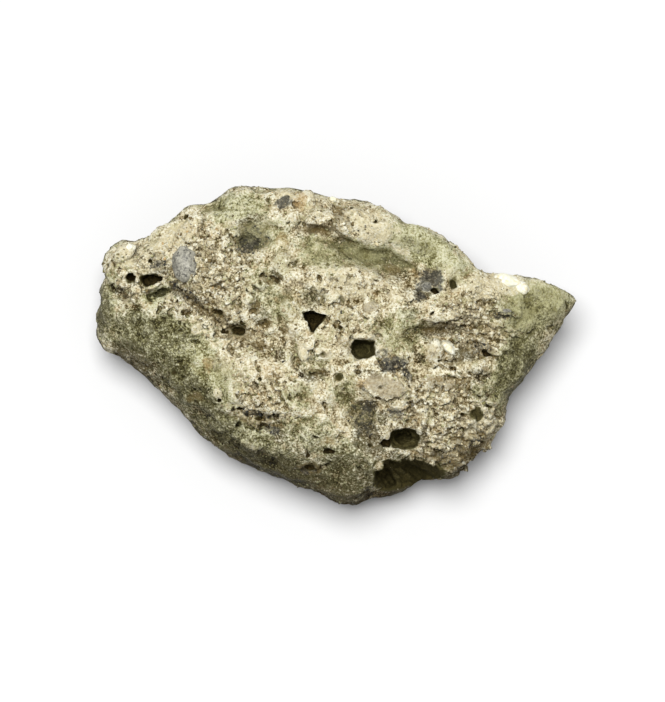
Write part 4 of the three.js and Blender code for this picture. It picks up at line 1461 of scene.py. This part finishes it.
def crust_material(colours):
    """The lump's surface: sand and glass by zone, under stains, with painted shade on its flanks and in its
    bubbles.
    """
    paint = Paint("fused_sand_crust")
    breakup = paint.math("SUBTRACT", paint.noise(0.35, 3, 0.7), 0.5)
    glassy = patch(paint, "glass", breakup, 0.1, 0.9, 2.4)
    colour = melt_colour(paint, colours, glassy, breakup)
    colour = lined(paint, colours, stained(paint, colours, colour, breakup))
    paint.put(paint.shader.inputs["Base Color"], colour)
    paint.shader.inputs["Specular IOR Level"].default_value = 0.04
    shine = paint.mix(glassy, (0.9, 0.9, 0.9), (0.5, 0.5, 0.5))
    paint.put(paint.shader.inputs["Roughness"], paint.total((shine, 1.0), (breakup, 0.3)))
    height = paint.total((paint.cells(0.13).outputs["Distance"], -0.5), (paint.noise(0.12, 3, 0.8), 1.2))
    paint.bump(height, 0.09)
    return paint.material


def grain_material(colours):
    """Loose sand, each grain in its own tint."""
    paint = Paint("sand_grains")
    mottle = paint.ramp(paint.noise(0.09, 2), (0.3, (0.72, 0.7, 0.66)), (0.7, (1.1, 1.1, 1.1)))
    colour = paint.mix(1.0, paint.attribute("tint", "Color"), mottle, "MULTIPLY")
    paint.put(paint.shader.inputs["Base Color"], colour)
    paint.put(paint.shader.inputs["Roughness"], paint.total((paint.noise(0.3), 0.6), (1.0, 0.3)))
    paint.shader.inputs["Specular IOR Level"].default_value = 0.25
    paint.bump(paint.noise(0.05, 2), 0.012)
    return paint.material


def clast_material(name, dark, pale, specks, size, roughness):
    """One smooth mineral, clouded between two colours and with specks of a third."""
    paint = Paint(name)
    cloud = paint.total((paint.noise(size, 4), 0.6), (paint.noise(0.14, 2, 0.7), 0.6), (1.0, -0.1))
    colour = paint.ramp(cloud, (0.38, dark), (0.62, pale))
    colour = paint.mix(paint.edge(paint.noise(0.35, 3, 0.7), 0.53, 0.63), colour, specks)
    paint.put(paint.shader.inputs["Base Color"], colour)
    paint.shader.inputs["Roughness"].default_value = roughness
    paint.bump(paint.noise(size / 4, 3), 0.03)
    return paint.material


# --------------------------------------------------------------------------------------------------
# Sand grains
# --------------------------------------------------------------------------------------------------

GRAIN_SHAPES = 16  # how many different shapes the sand grains are copies of
GRAIN_REACH = 1.35  # how far over the floor a grain's middle stays, as a share of its radius
GRAIN_ZONES = ("glass", "rough", "side", "deep", "soot", "rust", "chalk", "umber", "buff", "lining", "mouth")


class GrainSettings(bpy.types.PropertyGroup):
    """Numbers and sizes of the sand grains stuck in the crust."""

    seed: IntProperty(name="Seed", description="Start of the grains' random draws", default=11)
    coarse: IntProperty(
        name="Coarse grains", description="Number of coarse grains on the top", default=7500, min=0
    )
    fine: IntProperty(
        name="Fine grains", description="Number of fine grains on the top", default=8000, min=0
    )
    flank: IntProperty(
        name="Flank grains", description="Number of grains on the sides and below", default=6000, min=0
    )
    coarse_size: FloatVectorProperty(
        name="Coarse radii", description="Smallest and largest coarse radius", size=2,
        default=(0.07 * MM, 0.18 * MM), unit="LENGTH",
    )
    fine_size: FloatVectorProperty(
        name="Fine radii", description="Smallest and largest fine radius", size=2,
        default=(0.045 * MM, 0.09 * MM), unit="LENGTH",
    )
    flank_size: FloatVectorProperty(
        name="Flank radii", description="Smallest and largest radius on the sides", size=2,
        default=(0.05 * MM, 0.12 * MM), unit="LENGTH",
    )


def shares_of(mesh):
    """The shares kept on the mesh's vertices that the sand goes by."""
    shares = {}
    for name in GRAIN_ZONES:
        values = np.empty(len(mesh.vertices), np.float32)
        mesh.attributes[name].data.foreach_get("value", values)
        shares[name] = values.astype(float)
    return shares


def grain_tints(share, colours, rng):
    """A colour for each grain, drawn by the zones that it lies in."""
    count = len(share["glass"])
    odds = (
        (colours.white, 0.03 + 0.25 * share["chalk"]),
        (colours.cream, 0.32 + 0.4 * share["chalk"]),
        (colours.tan, np.full(count, 0.42)),
        (colours.brown, 0.18 + 0.6 * share["umber"]),
        (colours.rust, 0.004 + 0.15 * share["rust"]),
        (colours.soot, 0.003 + 2.0 * share["soot"]),
        (colours.ash, 0.03 + share["soot"]),
        (colours.pale_glass, 0.06 + share["glass"]),
        (colours.glass, 0.02 + share["glass"] * (1 + share["deep"])),
    )
    palette = np.array([colour for colour, _ in odds])
    weights = np.column_stack([weight for _, weight in odds])
    limits = np.cumsum(weights / weights.sum(axis=1)[:, None], axis=1)
    kind = (rng.random(count)[:, None] > limits).sum(axis=1).clip(0, len(palette) - 1)
    # Grains in the deep zones are darker: dark glass, and painted shade on flanks, edges and under bulges.
    return palette[kind] * rng.uniform(0.7, 1.1, (count, 1)) * (1 - 0.6 * share["deep"][:, None])


def grains(name, lump, shares, count, radii, weights, colours, rng):
    """A mesh of angular grains partly sunk in the lump, denser where the vertices weigh more."""
    shapes = [shard(rng) for _ in range(GRAIN_SHAPES)]
    places, normals, take = scattered(lump, count, weights, rng)
    tints = grain_tints({key: take(values) for key, values in shares.items()}, colours, rng)
    copies, colour_rows = [], []
    for place, normal, tint in zip(places, normals, tints):
        size = radii[0] + (radii[1] - radii[0]) * rng.random() ** 2
        turn = Euler(rng.uniform(0, 2 * math.pi, 3)).to_matrix()
        matrix = (turn * size).to_4x4()
        matrix.translation = Vector(place) - Vector(normal) * size * rng.uniform(0.1, 0.8)
        matrix.translation.z = max(matrix.translation.z, GRAIN_REACH * size)
        shape = shapes[rng.integers(len(shapes))]
        copies.append(placed(shape, matrix))
        colour_rows.append(np.tile((*tint, 1.0), (len(shape[0]), 1)))
    mesh = joined(name, copies)
    layer = mesh.attributes.new("tint", "FLOAT_COLOR", "POINT")
    layer.data.foreach_set("color", np.concatenate(colour_rows).astype(np.float32).ravel())
    return mesh


class TRINITITE_OT_grains(bpy.types.Operator):
    """Stick sand grains in the crust, the flanks and the underside"""

    bl_idname = "trinitite.grains"
    bl_label = "Sand Grains"

    def execute(self, context):
        settings = context.scene.trinitite_grains
        colours = context.scene.trinitite_colours
        lump = bpy.data.objects[LUMP_NAME].data
        share = shares_of(lump)
        rng = np.random.default_rng(settings.seed)
        top, bare = 1 - share["side"], 1 - share["glass"]
        open_air = (1 - share["lining"]) ** 4 * (1 - share["mouth"]) ** 4 * (1 - 0.9 * share["buff"])
        coarse = top * open_air * (0.9 * share["rough"] + 0.2 * bare + 0.08)
        fine = top * open_air * (0.4 * bare + 0.3 * share["rough"] + 0.3)
        flank = share["side"] * open_air * share["rough"] ** 2
        material = grain_material(colours)
        for name, count, radii, weights in (
            ("coarse_sand", settings.coarse, settings.coarse_size, coarse),
            ("fine_sand", settings.fine, settings.fine_size, fine),
            ("flank_sand", settings.flank, settings.flank_size, flank),
        ):
            mesh = grains(name, lump, share, count, radii, weights, colours, rng)
            new_piece(name, mesh, material)
        return {"FINISHED"}


# --------------------------------------------------------------------------------------------------
# Clasts
# --------------------------------------------------------------------------------------------------

GREY_GRAINS = [
    Knob("big grey grain", -9.84, 5.36, 0.86, 1.2, 0.75, 12),
    Knob("north-east bubble's grain", 6.1, 3.95, 0.4, 0.34, 0.4, 15),
    Knob("east streak", 11.35, 2.35, 0.45, 0.14, 0.2, -4),
]
WHITE_GRAINS = [
    Knob("by the orange knob", 7.6, -0.1, 0.68, 0.4, 0.75, -44),
    Knob("wing root", 11.5, 4.28, 0.98, 0.5, 0.45, -16),
    Knob("west lobe tip", -13.5, 6.55, 0.36, 0.26, 0.25, -10),
    Knob("north edge", -0.05, 9.72, 0.25, 0.2, 0.2, -30),
    Knob("south-east", 6.22, -5.75, 0.12, 0.25, 0.2, 20),
    Knob("wing root, east", 12.42, 3.86, 0.62, 0.44, 0.4, -30),
]
GREY_SINK = 0.4  # how far a grey grain's middle lies under the surface, as a share of its half height
WHITE_SINK = 0.5  # and the same for the white ones


def clasts(name, knobs, sink, tree, material, rng):
    """Smooth mineral grains with a place of their own, sunk in the crust by a share of their half height."""
    copies = []
    for knob in knobs:
        z = height_at(tree, knob.x, knob.y) - sink * knob.high * MM
        middle = Vector((knob.x * MM, knob.y * MM, z))
        halves = (knob.long * MM, knob.wide * MM, knob.high * MM)
        copies.append(placed(blob(rng, 4, 0.18), upright(middle, halves, knob.turn)))
    mesh = joined(name, copies)
    make_uneven(mesh, 0.04, 0.06, 12)
    mesh.shade_smooth()
    new_piece(name, mesh, material)


class TRINITITE_OT_clasts(bpy.types.Operator):
    """Set the larger grey and white mineral grains in the crust"""

    bl_idname = "trinitite.clasts"
    bl_label = "Mineral Grains"

    def execute(self, context):
        colours = context.scene.trinitite_colours
        tree = surface_tree(bpy.data.objects[LUMP_NAME].data)
        rng = np.random.default_rng(context.scene.trinitite_grains.seed)
        specks, dark, pale = ([share * part for part in colours.grey] for share in (0.4, 0.6, 1.95))
        grey = clast_material("grey_mineral", dark, pale, specks, 0.7, 0.6)
        white = clast_material("white_mineral", colours.frost, colours.quartz, colours.cream, 0.4, 0.5)
        clasts("grey_grains", GREY_GRAINS, GREY_SINK, tree, grey, rng)
        clasts("white_grains", WHITE_GRAINS, WHITE_SINK, tree, white, rng)
        return {"FINISHED"}


# --------------------------------------------------------------------------------------------------
# The studio
# --------------------------------------------------------------------------------------------------

SENSOR = 36  # the camera's, in millimetres
FLOOR_REACH = 2.0  # from the floor's middle to its sides
FLOOR_COLOUR = (0.505, 0.505, 0.505)


class StudioSettings(bpy.types.PropertyGroup):
    """Camera and light."""

    view_height: FloatProperty(
        name="View height", description="Height of the camera's view at the stone's rim",
        default=46.8 * MM, unit="LENGTH",
    )
    aim: FloatVectorProperty(
        name="Aim", description="Point that the camera looks down on",
        default=(-0.1 * MM, -0.32 * MM, 5 * MM), subtype="XYZ", unit="LENGTH",
    )
    lens: FloatProperty(name="Lens", description="Focal length in millimetres", default=400)
    sky: FloatProperty(name="Sky", description="Strength of the even light from all round", default=0.45)
    key_strength: FloatProperty(
        name="Key", description="Strength of the key light, in watts per square metre", default=5.1
    )
    key_width: FloatProperty(
        name="Key width", description="Angle that the key light fills",
        default=math.radians(29), subtype="ANGLE",
    )
    key_from: FloatVectorProperty(
        name="Key from", description="Direction that the key light comes from",
        default=(-0.075, 0.225, 0.97), subtype="DIRECTION",
    )


def plain_material(name, colour, roughness):
    """One colour and one roughness."""
    material = bpy.data.materials.new(name)
    material.use_nodes = True
    shader = material.node_tree.nodes["Principled BSDF"]
    shader.inputs["Base Color"].default_value = (*colour, 1)
    shader.inputs["Roughness"].default_value = roughness
    return material


def add_camera(scene, settings):
    """A long lens straight above the aim, as far off as gives the view its height there."""
    data = bpy.data.cameras.new("camera")
    data.lens = settings.lens
    data.sensor_width = SENSOR
    data.clip_start, data.clip_end = 0.001, 10
    camera = bpy.data.objects.new("camera", data)
    scene.collection.objects.link(camera)
    camera.location = Vector(settings.aim) + Vector((0, 0, data.lens / SENSOR * settings.view_height))
    scene.camera = camera


def add_floor(scene):
    """A pale square at the resting surface."""
    bm = bmesh.new()
    bmesh.ops.create_grid(bm, x_segments=1, y_segments=1, size=FLOOR_REACH)
    floor = bpy.data.objects.new("floor", mesh_of(bm, "floor"))
    scene.collection.objects.link(floor)
    floor.data.materials.append(plain_material("pale_floor", FLOOR_COLOUR, 0.9))


def add_light(scene, settings):
    """An even white sky and one soft key light."""
    world = bpy.data.worlds.new("world")
    world.use_nodes = True
    sky = world.node_tree.nodes["Background"]
    sky.inputs["Color"].default_value = (1, 1, 1, 1)
    sky.inputs["Strength"].default_value = settings.sky
    scene.world = world
    lamp = bpy.data.lights.new("key", "SUN")
    lamp.energy = settings.key_strength
    lamp.angle = settings.key_width
    key = bpy.data.objects.new("key", lamp)
    scene.collection.objects.link(key)
    key.rotation_euler = (-Vector(settings.key_from)).to_track_quat("-Z", "Y").to_euler()


class TRINITITE_OT_stage(bpy.types.Operator):
    """Make the pale floor, the soft light and the camera"""

    bl_idname = "trinitite.stage"
    bl_label = "Studio"

    def execute(self, context):
        settings = context.scene.trinitite_studio
        add_camera(context.scene, settings)
        add_floor(context.scene)
        add_light(context.scene, settings)
        context.scene.view_settings.view_transform = "Standard"
        return {"FINISHED"}


class TRINITITE_PT_panel(bpy.types.Panel):
    """Steps of the specimen, in order"""

    bl_label = "Trinitite"
    bl_idname = "TRINITITE_PT_panel"
    bl_space_type = "VIEW_3D"
    bl_region_type = "UI"
    bl_category = "Trinitite"

    def draw(self, context):
        for operator in OPERATORS:
            self.layout.operator(operator.bl_idname)


OPERATORS = (TRINITITE_OT_stone, TRINITITE_OT_grains, TRINITITE_OT_clasts, TRINITITE_OT_stage)
SETTINGS = {
    "trinitite_stone": StoneSettings,
    "trinitite_colours": StoneColours,
    "trinitite_grains": GrainSettings,
    "trinitite_studio": StudioSettings,
}


def register():
    for group in SETTINGS.values():
        bpy.utils.register_class(group)
    for name, group in SETTINGS.items():
        setattr(bpy.types.Scene, name, PointerProperty(type=group))
    for operator in OPERATORS:
        bpy.utils.register_class(operator)
    bpy.utils.register_class(TRINITITE_PT_panel)


def unregister():
    bpy.utils.unregister_class(TRINITITE_PT_panel)
    for operator in reversed(OPERATORS):
        bpy.utils.unregister_class(operator)
    for name in SETTINGS:
        delattr(bpy.types.Scene, name)
    for group in reversed(SETTINGS.values()):
        bpy.utils.unregister_class(group)


def main():
    register()
    bpy.ops.trinitite.stone()
    bpy.ops.trinitite.grains()
    bpy.ops.trinitite.clasts()
    bpy.ops.trinitite.stage()


if __name__ == "__main__":
    main()
